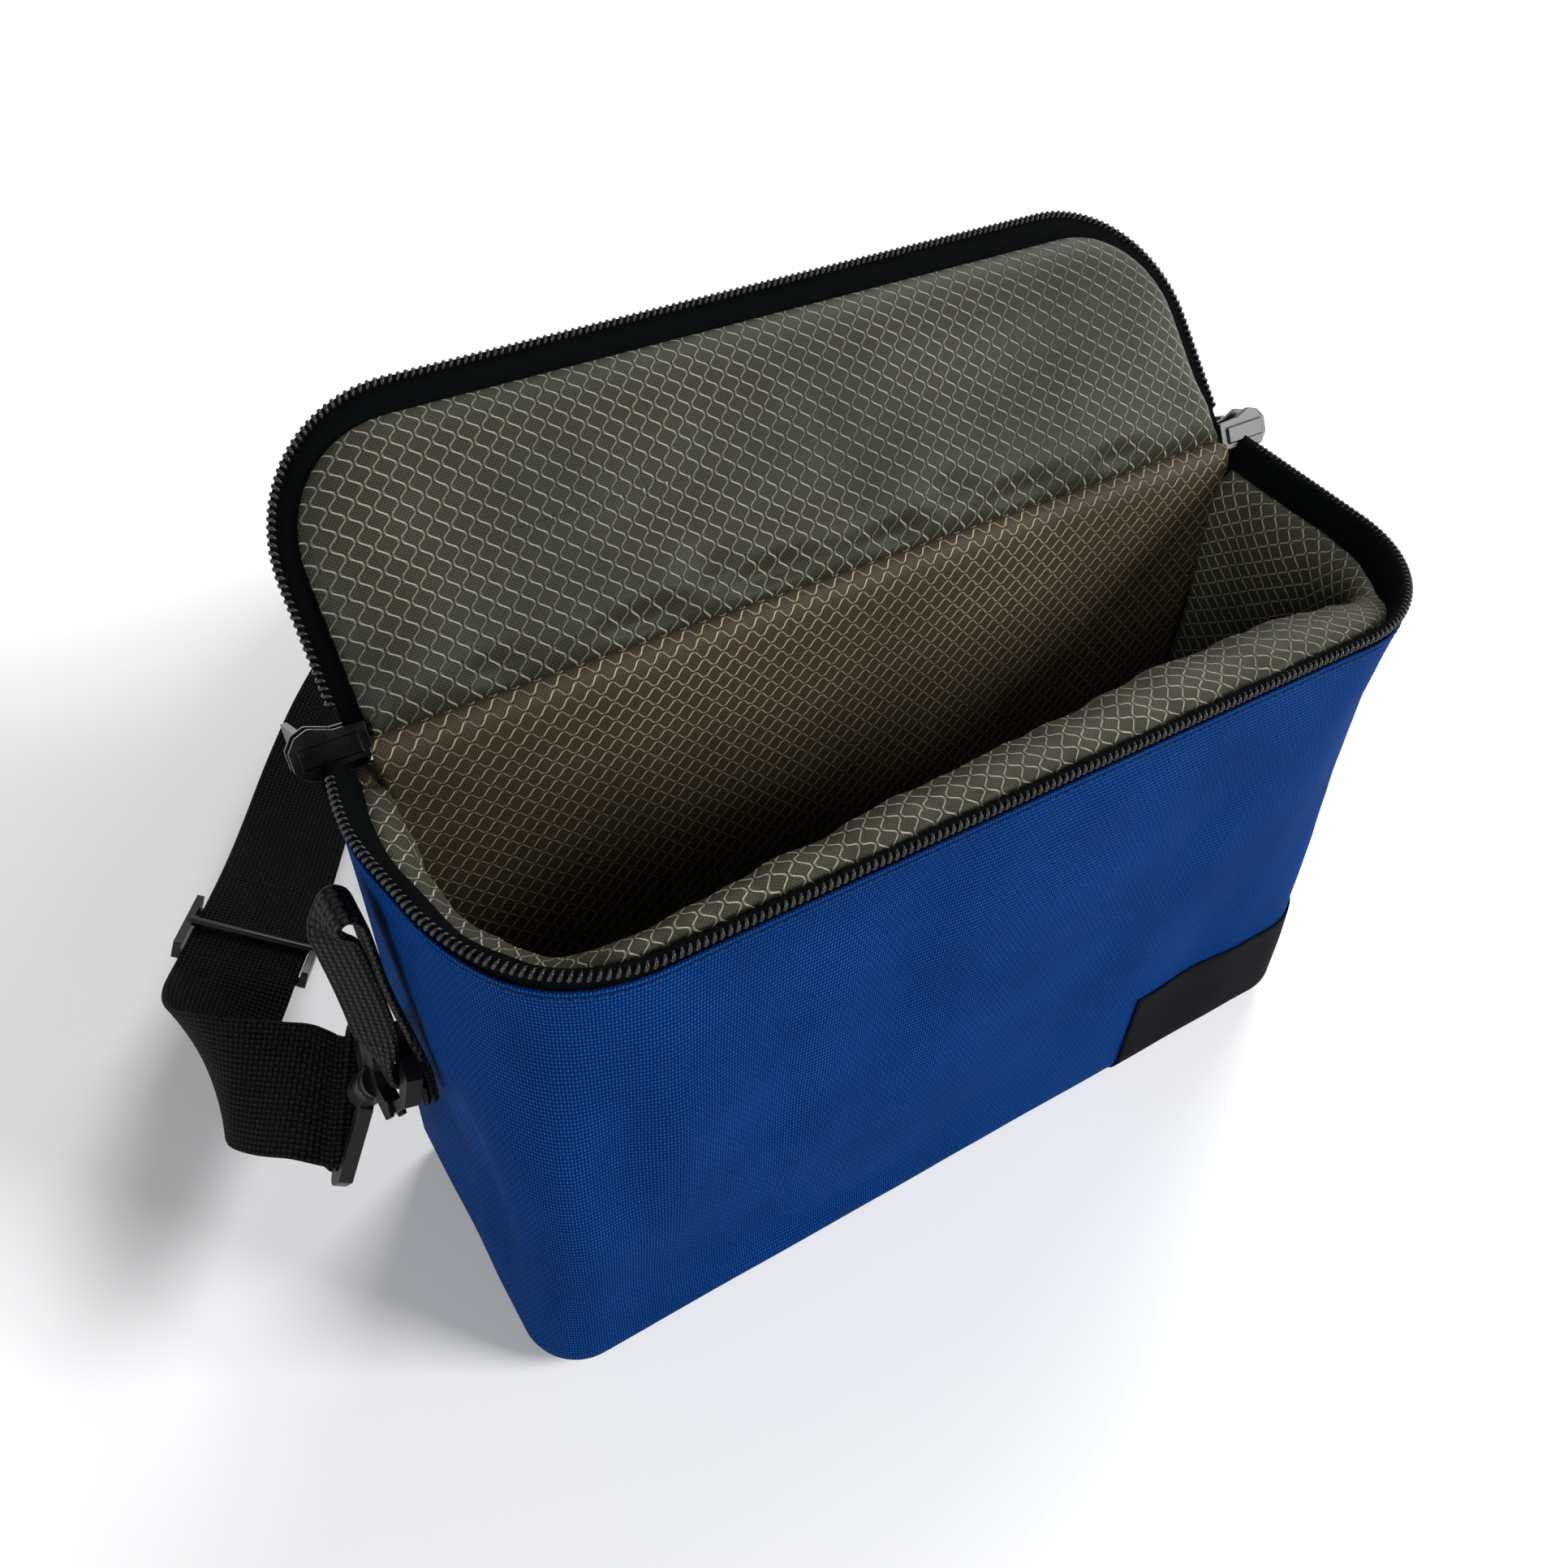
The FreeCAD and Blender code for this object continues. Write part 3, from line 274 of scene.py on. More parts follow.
def give(group, leave, word, value):
    """Send a value out of a group."""
    group.links.new(value.socket, leave.inputs[word])

# %% [markdown]
# Every cloth here is woven: threads one way go over and under threads the other way.
# The group works in millimetres along the cloth, which each sheet carries as its own UV map, so the
# threads stay straight with the cloth where it bends. It gives the height of the threads for the bump,
# and a mask of the threads' tops for the colour, since light reaches the tops and not the gaps.
# A picture of cloth could be laid on instead, but it goes soft close up, and a formula never does.

# %% Group: plain weave
def weave_group():
    group, leave, across, along, pins = new_group(
        "plain_weave", [("Pitch across", 0.7), ("Pitch along", 0.7)], ["Height", "Warp"])
    u = across / pins["Pitch across"]
    v = along / pins["Pitch along"]
    warp_round = (u.math("FRACT") * math.pi).math("SINE")
    weft_round = (v.math("FRACT") * math.pi).math("SINE")
    warp_over = ((v + u.math("FLOOR")) * math.pi).math("SINE") * 0.5 + 0.5
    weft_over = ((u + v.math("FLOOR")) * math.pi).math("SINE") * -0.5 + 0.5
    warp = warp_round * warp_over
    weft = weft_round * weft_over
    give(group, leave, "Height", warp.math("MAXIMUM", weft))
    give(group, leave, "Warp", (warp - weft).ramp(-0.2, 0.2))
    return group


plain_weave = weave_group()
print(f"plain weave: {len(plain_weave.nodes)} nodes")

# %% [markdown]
# The lining has raised pale threads in a net of soft diamonds. Each thread is a rounded zigzag that
# runs along the cloth, and its neighbour is the same zigzag half a step later, so the two almost touch
# at every turn, with a dark slot between them. That is simple to write: find the strip, find where the
# zigzag is in it, and measure how far the point is from the thread.

# %% Group: honeycomb threads
def honeycomb_group():
    group, leave, across, along, pins = new_group(
        "honeycomb", [("Strip", 3.25), ("Half period", 3.0), ("Thread", 0.26)], ["Thread", "Slot", "Lean"])
    u = across / pins["Strip"]
    inside = u.math("FRACT")
    step = (along / pins["Half period"]) + u.math("FLOOR")
    swing = step.math("PINGPONG", 1.0)
    zigzag = swing.ramp(0.07, 0.93) * 0.74 + 0.13
    away = (inside - zigzag).math("ABSOLUTE") * pins["Strip"] * 0.82
    share = away / pins["Thread"]
    edge = (inside - 0.5).math("ABSOLUTE").ramp(0.36, 0.47)
    near = (inside - zigzag).math("ABSOLUTE").ramp(0.12, 0.26).flip()
    turn = (zigzag - 0.5).math("ABSOLUTE").ramp(0.24, 0.38)
    give(group, leave, "Thread", share.ramp(0.7, 1.3).flip() * turn.math("MULTIPLY_ADD", -0.62, 1.0))
    give(group, leave, "Slot", edge * near)
    give(group, leave, "Lean", (step * 0.5).math("FRACT").math("GREATER_THAN", 0.5))
    return group


honeycomb = honeycomb_group()
print(f"honeycomb: {len(honeycomb.nodes)} nodes")

# %% [markdown]
# Nothing sewn is evenly coloured. A slow noise stands for dye, handling and a little dust, and every
# material mixes some of it in; in the lining it paints patches of sheen on the threads. It reads object
# coordinates, so it doesn't care about the cloth's UVs.
# Wear could be painted on by hand, but this bag is worn nowhere in particular, and noise is enough.

# %% Group: slow variation
def patina_and_sheen_group():
    group, leave, _, _, pins = new_group(
        "patina_and_sheen", [("Size", 25.0), ("Fine size", 260.0)], ["Patches", "Fine"])
    entry = next(node for node in group.nodes if node.type == "GROUP_INPUT")
    for word, scale, detail in (("Patches", "Size", 3.0), ("Fine", "Fine size", 2.0)):
        cloud = group.nodes.new("ShaderNodeTexNoise")
        cloud.inputs["Detail"].default_value = detail
        group.links.new(entry.outputs["Place"], cloud.inputs["Vector"])
        group.links.new(pins[scale].socket, cloud.inputs["Scale"])
        give(group, leave, word, Value(group, cloud.outputs["Fac"]))
    return group


patina_and_sheen = patina_and_sheen_group()
print(f"patina: {len(patina_and_sheen.nodes)} nodes")

# %% [markdown]
# A finish is a short recipe: put some groups in, mix colours by their masks, and raise a bump. These
# helpers each do one of those steps, so that the recipes below read as recipes and not as wiring.

# %% Material helpers
CLOTH_MAP = "cloth_place"


def use_group(tree, group, place, **values):
    """Put a group in a material, feed it a place, set its own values, and give what comes out by name."""
    node = tree.nodes.new("ShaderNodeGroup")
    node.node_tree = group
    tree.links.new(place, node.inputs["Place"])
    for word, number in values.items():
        node.inputs[word.replace("_", " ")].default_value = number
    return {pin.name: Value(tree, pin) for pin in node.outputs}


def mix(tree, factor, first, second):
    """A colour between two others; each is three numbers or a colour socket."""
    node = tree.nodes.new("ShaderNodeMix")
    node.data_type = "RGBA"
    tree.links.new(factor.socket, node.inputs["Factor"])
    for pin, colour in ((node.inputs["A"], first), (node.inputs["B"], second)):
        if isinstance(colour, tuple):
            pin.default_value = (*colour, 1)
        else:
            tree.links.new(colour, pin)
    return node.outputs["Result"]


def bump(tree, height, distance, shader):
    """Raise the surface by height times distance, in millimetres."""
    node = tree.nodes.new("ShaderNodeBump")
    node.inputs["Strength"].default_value = 1.0
    node.inputs["Distance"].default_value = distance * MM
    tree.links.new(height.socket, node.inputs["Height"])
    tree.links.new(node.outputs["Normal"], shader.inputs["Normal"])


def new_finish(name, **sockets):
    """A material with its shader's plain values set on the sockets."""
    material = bpy.data.materials.new(name)
    material.use_nodes = True
    shader = material.node_tree.nodes["Principled BSDF"]
    for word, number in sockets.items():
        shader.inputs[word.replace("_", " ")].default_value = number
    return material, material.node_tree, shader


def cloth_place(tree):
    """Millimetres along the cloth, from the map that each sheet carries."""
    node = tree.nodes.new("ShaderNodeUVMap")
    node.uv_map = CLOTH_MAP
    return node.outputs["UV"]


def object_place(tree):
    """Metres in the piece's own space."""
    return tree.nodes.new("ShaderNodeTexCoord").outputs["Object"]


def shade_of(colour, share):
    return tuple(c * share for c in colour)


def tell(*finishes):
    """Print how large each finish's node tree is."""
    for finish in finishes:
        print(f"{finish.name}: {len(finish.node_tree.nodes)} nodes")

# %% [markdown]
# Woven cloth in general: gaps darker than thread tops, warp and weft a shade apart, patches from the
# slow noise, and threads as bump. The blue nylon, the tapes and the webbings differ only in numbers.
# Each could be built by hand for a closer match, but one recipe keeps them of a kind, as on a real bag.

# %% Material: woven cloth
FADED = 0.75


def woven(name, gap, top, pitch, depth, roughness, shine=0.12):
    """gap and top are the colours between the threads and on them; pitch and depth are millimetres."""
    material, tree, shader = new_finish(name, Roughness=roughness)
    shader.inputs["Specular IOR Level"].default_value = shine
    threads = use_group(tree, plain_weave, cloth_place(tree), Pitch_across=pitch[0], Pitch_along=pitch[1])
    soil_and_sheen = use_group(tree, patina_and_sheen, object_place(tree))
    height = threads["Height"]
    lit = height.ramp(0.35, 0.95)
    shade = threads["Warp"] * 0.30 + 0.70
    tops = mix(tree, soil_and_sheen["Patches"].ramp(0.3, 0.7), shade_of(top, FADED), top)
    tree.links.new(mix(tree, lit * shade, gap, tops), shader.inputs["Base Color"])
    bump(tree, height + soil_and_sheen["Fine"] * 0.3, depth, shader)
    return material


blue_nylon = woven("blue_nylon", gap=(0.000, 0.009, 0.047), top=(0.006, 0.069, 0.315),
                   pitch=(0.85, 1.5), depth=0.30, roughness=0.6, shine=0.01)
zip_tape = woven("zip_tape", gap=(0.0006, 0.001, 0.001), top=(0.004, 0.005, 0.0055),
                 pitch=(0.6, 0.45), depth=0.06, roughness=0.75, shine=0.01)
strap_webbing = woven("strap_webbing", gap=(0.0002, 0.0002, 0.0002), top=(0.013, 0.013, 0.0135),
                      pitch=(1.5, 1.6), depth=0.6, roughness=0.6, shine=0.03)
loop_webbing = woven("loop_webbing", gap=(0.0003, 0.0003, 0.0003), top=(0.030, 0.030, 0.029),
                     pitch=(1.7, 1.9), depth=0.9, roughness=0.5, shine=0.06)
label_cloth = woven("label_cloth", gap=(0.001, 0.001, 0.002), top=(0.005, 0.005, 0.007),
                    pitch=(0.3, 0.22), depth=0.03, roughness=0.7, shine=0.03)
tell(blue_nylon, zip_tape, strap_webbing, loop_webbing, label_cloth)

# %% [markdown]
# The lining: a fine plain weave of dark and olive threads, with the honeycomb over it. The pale threads
# stand a little proud, dim where they dive at each turn, and the slot beside a turn is nearly black: a
# black base with the shadow between the raised threads painted in. The weave's gaps carry painted shade
# too, and the pale threads carry painted sheen, brighter where they lean one way and in slow patches.
# It is one recipe in four shades, one cloth with the light on each part painted in: the lid's, the
# walls' a little lighter, the floor's nearly black with its shade painted in, and the back wall's with
# its warmer light painted in.

# %% Material: lining
def lining_finish(name, gap, top, thread, faint):
    """gap, top and thread are colours; faint is how bright the threads that lean the other way are, as painted
    sheen.
    """
    material, tree, shader = new_finish(name, Roughness=0.5)
    shader.inputs["Specular IOR Level"].default_value = 0.10
    place = cloth_place(tree)
    ground = use_group(tree, plain_weave, place, Pitch_across=0.55, Pitch_along=0.62)
    net = use_group(tree, honeycomb, place)
    soil_and_sheen = use_group(tree, patina_and_sheen, object_place(tree), Size=18.0)
    height = ground["Height"]
    # Slow patches of painted sheen, on the ground's thread tops and on the pale threads
    patchy = soil_and_sheen["Patches"].ramp(0.3, 0.7)
    tops = mix(tree, patchy, shade_of(top, 0.72), top)
    # Thread tops lit and gaps in painted shade, with the warp a shade darker than the weft
    grain_and_shade = height.ramp(0.25, 0.95) * (ground["Warp"] * 0.45 + 0.55)
    cloth = mix(tree, grain_and_shade, gap, tops)
    # The slots are painted nearly black: a black base and the painted shadow between the raised threads
    slotted = mix(tree, net["Slot"], cloth, shade_of(gap, 0.1))
    # Painted sheen: the threads that lean one way are brighter than the others
    bright = mix(tree, patchy, shade_of(thread, 0.75), thread)
    weak = mix(tree, patchy, shade_of(thread, faint * 0.6), shade_of(thread, faint * 1.4))
    pale = mix(tree, net["Lean"], bright, weak)
    tree.links.new(mix(tree, net["Thread"], slotted, pale), shader.inputs["Base Color"])
    bump(tree, height * 0.30 + net["Thread"] - net["Slot"] * 0.6, 0.18, shader)
    return material


# Each copy paints the light that falls on its part into the one lining's colour
lid_lining = lining_finish("lid_lining", gap=(0.010, 0.010, 0.007), top=(0.055, 0.054, 0.040),
                           thread=(0.30, 0.29, 0.21), faint=0.38)
wall_lining = lining_finish("wall_lining", gap=(0.011, 0.011, 0.007), top=(0.070, 0.068, 0.048),
                            thread=(0.37, 0.34, 0.25), faint=0.60)
# Nearly black: the shade deep in the bag painted in
painted_shade_lining = lining_finish("painted_shade_lining", gap=(0.002, 0.002, 0.001), top=(0.010, 0.009, 0.007),
                            thread=(0.04, 0.037, 0.027), faint=0.50)
# Warmer and brighter: the warm light on the back wall painted in
painted_warm_light_lining = lining_finish("painted_warm_light_lining", gap=(0.013, 0.010, 0.006), top=(0.090, 0.072, 0.047),
                            thread=(0.42, 0.34, 0.22), faint=0.45)
tell(lid_lining, wall_lining, painted_shade_lining, painted_warm_light_lining)

# %% [markdown]
# Hard finishes: moulded black plastic with a fine grain, the zip's shiny nylon, and dark nickel, with a
# nearly black copy of the nickel, where dark reflections are painted in.
# A single colour and gloss would do from afar. The slow noise makes them a little lighter and duller in
# patches, and that is what lets them look handled.

# %% Material: moulded plastic and metal
def hard(name, colour, metallic, smooth, rough, grain_and_shade, shine=0.5):
    """smooth and rough are the roughness where the piece is handled and where it isn't."""
    material, tree, shader = new_finish(name, Metallic=metallic)
    shader.inputs["Specular IOR Level"].default_value = shine
    soil_and_sheen = use_group(tree, patina_and_sheen, object_place(tree), Size=90.0, Fine_size=1400.0)
    worn = tuple(min(c * 1.35 + 0.004, 1) for c in colour)
    tone = soil_and_sheen["Patches"].ramp(0.35, 0.7)
    tree.links.new(mix(tree, tone, colour, worn), shader.inputs["Base Color"])
    gloss = tone * (rough - smooth) + smooth
    tree.links.new(gloss.socket, shader.inputs["Roughness"])
    if grain_and_shade:
        bump(tree, soil_and_sheen["Fine"], grain_and_shade, shader)
    return material


coil_plastic = hard("coil_plastic", (0.006, 0.006, 0.006), 0.0, 0.26, 0.36, 0.004, shine=0.25)
hook_plastic = hard("hook_plastic", (0.005, 0.005, 0.005), 0.0, 0.22, 0.36, 0.01, shine=0.16)
dark_nickel = hard("dark_nickel", (0.030, 0.030, 0.031), 1.0, 0.38, 0.46, 0)
# The same nickel, nearly black: the left slider's dark reflections painted in
painted_shade_nickel = hard("painted_shade_nickel", (0.004, 0.004, 0.0045), 1.0, 0.28, 0.40, 0.004)
tell(coil_plastic, hook_plastic, dark_nickel, painted_shade_nickel)

# %% [markdown]
# Sewing thread is twisted from finer threads, each a quarter of a millimetre wide. A twist could be
# modelled, but a stitch is two millimetres long, so the woven recipe at a small pitch is enough.

# %% Material: thread
blue_thread = woven("thread", gap=(0.004, 0.012, 0.035), top=(0.012, 0.030, 0.085),
                    pitch=(0.25, 0.25), depth=0.05, roughness=0.6)
black_thread = woven("black_thread", gap=(0.002, 0.002, 0.002), top=(0.05, 0.05, 0.05),
                     pitch=(0.25, 0.25), depth=0.05, roughness=0.6, shine=0.03)
tell(blue_thread, black_thread)

# %% [markdown]
# Most of the bag is sheets and tubes swept along lines, so two helpers make nearly everything:
# a sheet through rows of points, and a tube through closed rings with its ends filled.
# Both store how far along the cloth each corner lies, which is what the weave reads. Blender could
# unwrap the pieces afterwards, but while they are being made the place in the cloth is already known.

# %% Sheets and tubes
def new_piece(name, points, faces, places):
    """A smooth object from points in millimetres, with each face corner's place in the cloth."""
    mesh = bpy.data.meshes.new(name)
    mesh.from_pydata((np.reshape(points, (-1, 3)) * MM).tolist(), [], faces)
    layer = mesh.uv_layers.new(name=CLOTH_MAP)
    layer.data.foreach_set("uv", np.asarray(places, np.float32).ravel())
    mesh.shade_smooth()
    thing = bpy.data.objects.new(name, mesh)
    bpy.context.scene.collection.objects.link(thing)
    return thing


def sheet(name, points, cloth):
    """Quads through a block of points, rows by columns, with the place of each in the cloth."""
    rows, cols = points.shape[:2]
    i, j = np.meshgrid(np.arange(rows - 1), np.arange(cols - 1), indexing="ij")
    corner = [(i, j), (i, j + 1), (i + 1, j + 1), (i + 1, j)]
    quads = np.stack([a * cols + b for a, b in corner], -1).reshape(-1, 4)
    return new_piece(name, points, quads.tolist(), np.stack([cloth[a, b] for a, b in corner], -2))


def tube(name, rings, cloth):
    """A closed skin through closed rings. cloth has one more column than the rings, for the wrap."""
    rows, cols = rings.shape[:2]
    i, j = np.meshgrid(np.arange(rows - 1), np.arange(cols), indexing="ij")
    corner = [(i, j), (i, j + 1), (i + 1, j + 1), (i + 1, j)]
    quads = np.stack([a * cols + b % cols for a, b in corner], -1).reshape(-1, 4).tolist()
    places = np.stack([cloth[a, b] for a, b in corner], -2).reshape(-1, 2).tolist()
    first, last = list(range(cols))[::-1], [(rows - 1) * cols + k for k in range(cols)]
    quads += [first, last]
    places += [cloth[0, k] for k in first] + [cloth[-1, k] for k in range(cols)]
    return new_piece(name, rings, quads, places)

# %% [markdown]
# Every piece then needs the same few words: its material, the body that it rides on, and the solids that
# it stands for, which are hidden. A sheet needs thickness too, which could be drawn as a second layer. A
# Solidify modifier is simpler, because the sheet itself stays one layer, easy to bend and to lay out.

# %% A piece's finish, body and thickness
CLOTH_GAUGE, HINGE_GAUGE, LABEL_GAUGE, TAPE_GAUGE = 0.8, 0.5, 0.7, 0.6


def finish_piece(piece, body, finish, slot, *nodes):
    """Give a piece its material, let it ride on a body, and hide the nodes that it stands for; slot is not
    used.
    """
    piece.data.materials.append(finish)
    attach(piece, body)
    if nodes:
        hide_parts(*nodes)
    return piece


def thicken(piece, gauge, outward=-1.0):
    """Give a sheet its cloth's thickness, on the inner side unless told otherwise."""
    skin = piece.modifiers.new("gauge", "SOLIDIFY")
    skin.thickness = gauge * MM
    skin.offset = outward
    skin.use_rim = True

# %% [markdown]
# A few small sums come back in nearly every piece: a smooth step, distance along a line, directions made
# one long, and soft noise for hand-made unevenness. They are written once, for whole rows of points.

# %% Sums for lines and folds
def ease(t):
    """A smooth step from 0 to 1."""
    t = np.clip(t, 0, 1)
    return t * t * (3 - 2 * t)


def lengths(points):
    """Distance along each row of points, starting at 0."""
    steps = np.linalg.norm(np.diff(points, axis=-2), axis=-1)
    return np.concatenate([np.zeros(steps.shape[:-1] + (1,)), np.cumsum(steps, -1)], -1)


def read_at(wanted, walk, rows):
    """Rows of a line, read at wanted distances along it."""
    return np.stack([np.interp(wanted, walk, column) for column in rows.T], -1)


def unit(rows):
    """The same directions, each one long."""
    return rows / np.linalg.norm(rows, axis=-1, keepdims=True)


def square_to(rows, run):
    """Each direction turned square to the run of a line, and one long."""
    return unit(rows - run * np.sum(rows * run, -1, keepdims=True))


def at_height(plan, height=0.0):
    """Points or directions of a plan, with a height."""
    return np.column_stack([plan, np.full(len(plan), height)])


def round_and_along(rings, along):
    """Places in the cloth of closed rings: how far round each ring, and how far along."""
    round_it = lengths(np.concatenate([rings, rings[:, :1]], 1))
    return np.stack([round_it, np.repeat(along[:, None], round_it.shape[1], 1)], -1)


def ripple(x, y, size, seed):
    """Soft noise between about -1 and 1 over a plane, in millimetres; always the same for one seed."""
    flat = zip(np.ravel(x), np.ravel(y))
    found = [noise.noise(Vector((a / size, b / size, seed))) for a, b in flat]
    return np.reshape(found, np.shape(x)) * 1.6

# %% [markdown]
# The bag's plan is a box with square-ish back corners and round front ones, tight at the base and wide
# at the rim. One function draws it at any height: left side, front and right side as an open U.
# A curve object could draw it too, but a formula can give every height its own corner.

# %% The bag's plan
BASE_CORNER, RIM_CORNER = 18, 42
BASE_ROUND, CORNER_GROWN = 11, 150
# Points along the U's five stretches, where a seam or a label has to follow it closely
CLOSE_COUNTS = (40, 60, 200, 60, 40)


def u_line(half, front, back, corner, counts=(16, 14, 60, 14, 16)):
    """The U from back left round the front to back right: points, outward directions, and distance
    from the middle of the front."""
    c, f = half - corner, front - corner
    side = np.linspace(back, -f, counts[0], endpoint=False)
    turn = np.linspace(0, math.pi / 2, counts[1], endpoint=False)
    face = np.linspace(-c, c, counts[2], endpoint=False)
    xy = [np.stack([np.full_like(side, -half), side], -1),
          np.stack([-c - corner * np.cos(turn), -f - corner * np.sin(turn)], -1),
          np.stack([face, np.full_like(face, -front)], -1),
          np.stack([c + corner * np.sin(turn), -f - corner * np.cos(turn)], -1),
          np.stack([np.full(counts[4], half), np.linspace(-f, back, counts[4])], -1)]
    out = [np.tile([-1.0, 0.0], (counts[0], 1)), np.stack([-np.cos(turn), -np.sin(turn)], -1),
           np.tile([0.0, -1.0], (counts[2], 1)), np.stack([np.sin(turn), -np.cos(turn)], -1),
           np.tile([1.0, 0.0], (counts[4], 1))]
    xy, out = np.concatenate(xy), np.concatenate(out)
    along = lengths(xy)
    return xy, out, along - along[-1] / 2


def corner_at(height):
    """The corner's radius at a height, small at the base and wide at the rim."""
    grown = np.clip((height - BASE_ROUND) / (CORNER_GROWN - BASE_ROUND), 0, 1)
    return BASE_CORNER + (RIM_CORNER - BASE_CORNER) * grown


print(f"corner: {corner_at(0):.0f} mm round at the base, {corner_at(RIM):.0f} mm at the rim")

# %% [markdown]
# The blue wrap. A real one isn't flat: the foam behind it is soft, and the corners were bent by hand.
# Shallow dents are put where the photograph shows them, as a list of place, reach and depth, and a slow
# ripple does the rest. They could be sculpted, but a list can be read, moved and changed one by one.

# %% Where the wrap sags, flares and dips
# Along the U from the middle of the front, height, reach along, reach up, depth
DENTS = [
    (-98, 36, 30, 18, 4.0), (-122, 104, 9, 44, 3.2), (-60, 20, 38, 9, 2.6), (-168, 70, 11, 34, 3.2),
    (-38, 122, 14, 46, 2.6), (38, 74, 20, 36, 2.8), (92, 66, 16, 36, 2.6), (-198, 60, 12, 30, 1.8),
    (-76, 96, 11, 40, 2.6), (0, 34, 26, 14, 2.4), (-106, 104, 7, 50, -1.8), (-137, 96, 7, 44, -1.2),
    (66, 120, 12, 30, 1.8), (124, 96, 12, 50, 2.0),
]


def wrap_sag(along, height):
    """How far the wrap lies inside the flat wall."""
    sag = 0.55 + 0.55 * ripple(along, height, 46, 3.1) + 0.25 * ripple(along, height, 17, 8.4)
    for s, z, reach, rise, depth in DENTS:
        sag += depth * np.exp(-((along - s) / reach) ** 2 - ((height - z) / rise) ** 2)
    return sag * ease((228 - np.abs(along)) / 24) * ease(height / 14) * ease((RIM - height) / 16)


def flare(along, height):
    """The left side's top is pulled outward, where the strap hangs on it."""
    return 5.4 * np.exp(-((along + 198) / 25) ** 2) * ease((height - 92) / 85)


def rim_dip(along):
    """How far the wrap's top edge lies below the rim: most at the two front corners."""
    return 2.6 * np.exp(-((np.abs(along) - 138) / 20) ** 2) + 0.5


def base_inset(height):
    """How far the base's round edge lies inside the wall at a height."""
    angle = np.arccos(1 - np.clip(np.asarray(height, float) / BASE_ROUND, 0, 1))
    return BASE_ROUND * (1 - np.sin(angle))


print(f"{len(DENTS)} dents, the deepest {max(dent[-1] for dent in DENTS)} mm")

# %% [markdown]
# The wrap itself is one cloth: rows of the plan, from the round base up to the hem, pushed in and out by
# those sums. A cloth simulation could drape it, but its dents would fall where the solver likes. The top
# edge is folded in and stitched down, and it dips at the front corners, where the tape shows below the
# teeth.

# %% Blue wrap
def wrap_rows():
    """The wrap's rows from the ground up: height, how far in from the wall, and corner radius."""
    rows = []
    for angle in np.linspace(0, math.pi / 2, 8):
        inset = BASE_ROUND * (1 - math.sin(angle))
        rows.append((BASE_ROUND * (1 - math.cos(angle)), inset, BASE_CORNER - inset))
    hem_rows = RIM - np.array([5.5, 4, 3.2, 2.6, 2, 1.3, 0.6, 0.1])
    for height in np.concatenate([np.linspace(16, RIM - 8, 34), hem_rows]):
        rows.append((height, 0, corner_at(height)))
    return rows


def blue_wrap():
    """The wrap, row by row, with the rise of each row measured along the cloth."""
    points, cloth = [], []
    rise = 0
    before = None
    for height, inset, corner in wrap_rows():
        xy, out, along = u_line(HALF_WIDTH - inset, HALF_DEPTH - inset, HALF_DEPTH - 1.2, corner)
        fold = np.exp(-((height - (RIM - 1.0)) / 1.1) ** 2)
        seam = np.exp(-((height - (RIM - 2.6)) / 0.45) ** 2)
        hem = 0.35 * fold - 0.35 * seam
        deep = wrap_sag(along, np.full_like(along, height))
        z = height - rim_dip(along) * ease((height - RIM + 30) / 28)
        xy = xy + out * (hem - deep + flare(along, height))[:, None]
        ring = np.column_stack([xy, z])
        if before is not None:
            rise += float(np.linalg.norm(ring[len(ring) // 2] - before))
        before = ring[len(ring) // 2]
        points.append(ring)
        cloth.append(np.column_stack([along, np.full_like(along, rise)]))
    return sheet("blue_wrap", np.array(points), np.array(cloth))


wrap = finish_piece(blue_wrap(), "root", blue_nylon, "blue_nylon", "shell_wrap")
thicken(wrap, CLOTH_GAUGE)
print(f"blue wrap: {len(wrap.data.vertices)} points")

# %% [markdown]
# The back panel closes the U, and the bottom panel is set in a little above the ground, so the wrap's
# round edge carries the bag. Flat cloth needs no more than a grid, whose corners follow that round edge.

# %% Back and bottom panels
def flat_panel(name, xs, ys, place, wobble):
    """A panel on a grid; place() turns two coordinates and a lift into a point."""
    x, y = np.meshgrid(xs, ys)
    lift = wobble * ripple(x, y, 50, 5.7)
    edge = ease((xs[-1] - np.abs(x)) / 12) * ease((y - ys[0]) / 12) * ease((ys[-1] - y) / 12)
    points = np.stack(place(x, y, lift * edge), -1)
    cloth = np.stack([x, y], -1)
    return sheet(name, points[:, ::-1], cloth[:, ::-1])


panel_x = np.linspace(-HALF_WIDTH + 0.8, HALF_WIDTH - 0.8, 60)
panel_z = np.linspace(1.5, BACK_TOP, 36)
BACK_WOBBLE, BACK_PROUD = 0.8, 0.7


def on_back(x, z, lift):
    """A point of the back panel: narrower at the round base, and never far out."""
    return x * (1 - base_inset(z) / HALF_WIDTH), HALF_DEPTH - CLOTH_GAUGE + np.minimum(lift, BACK_PROUD), z


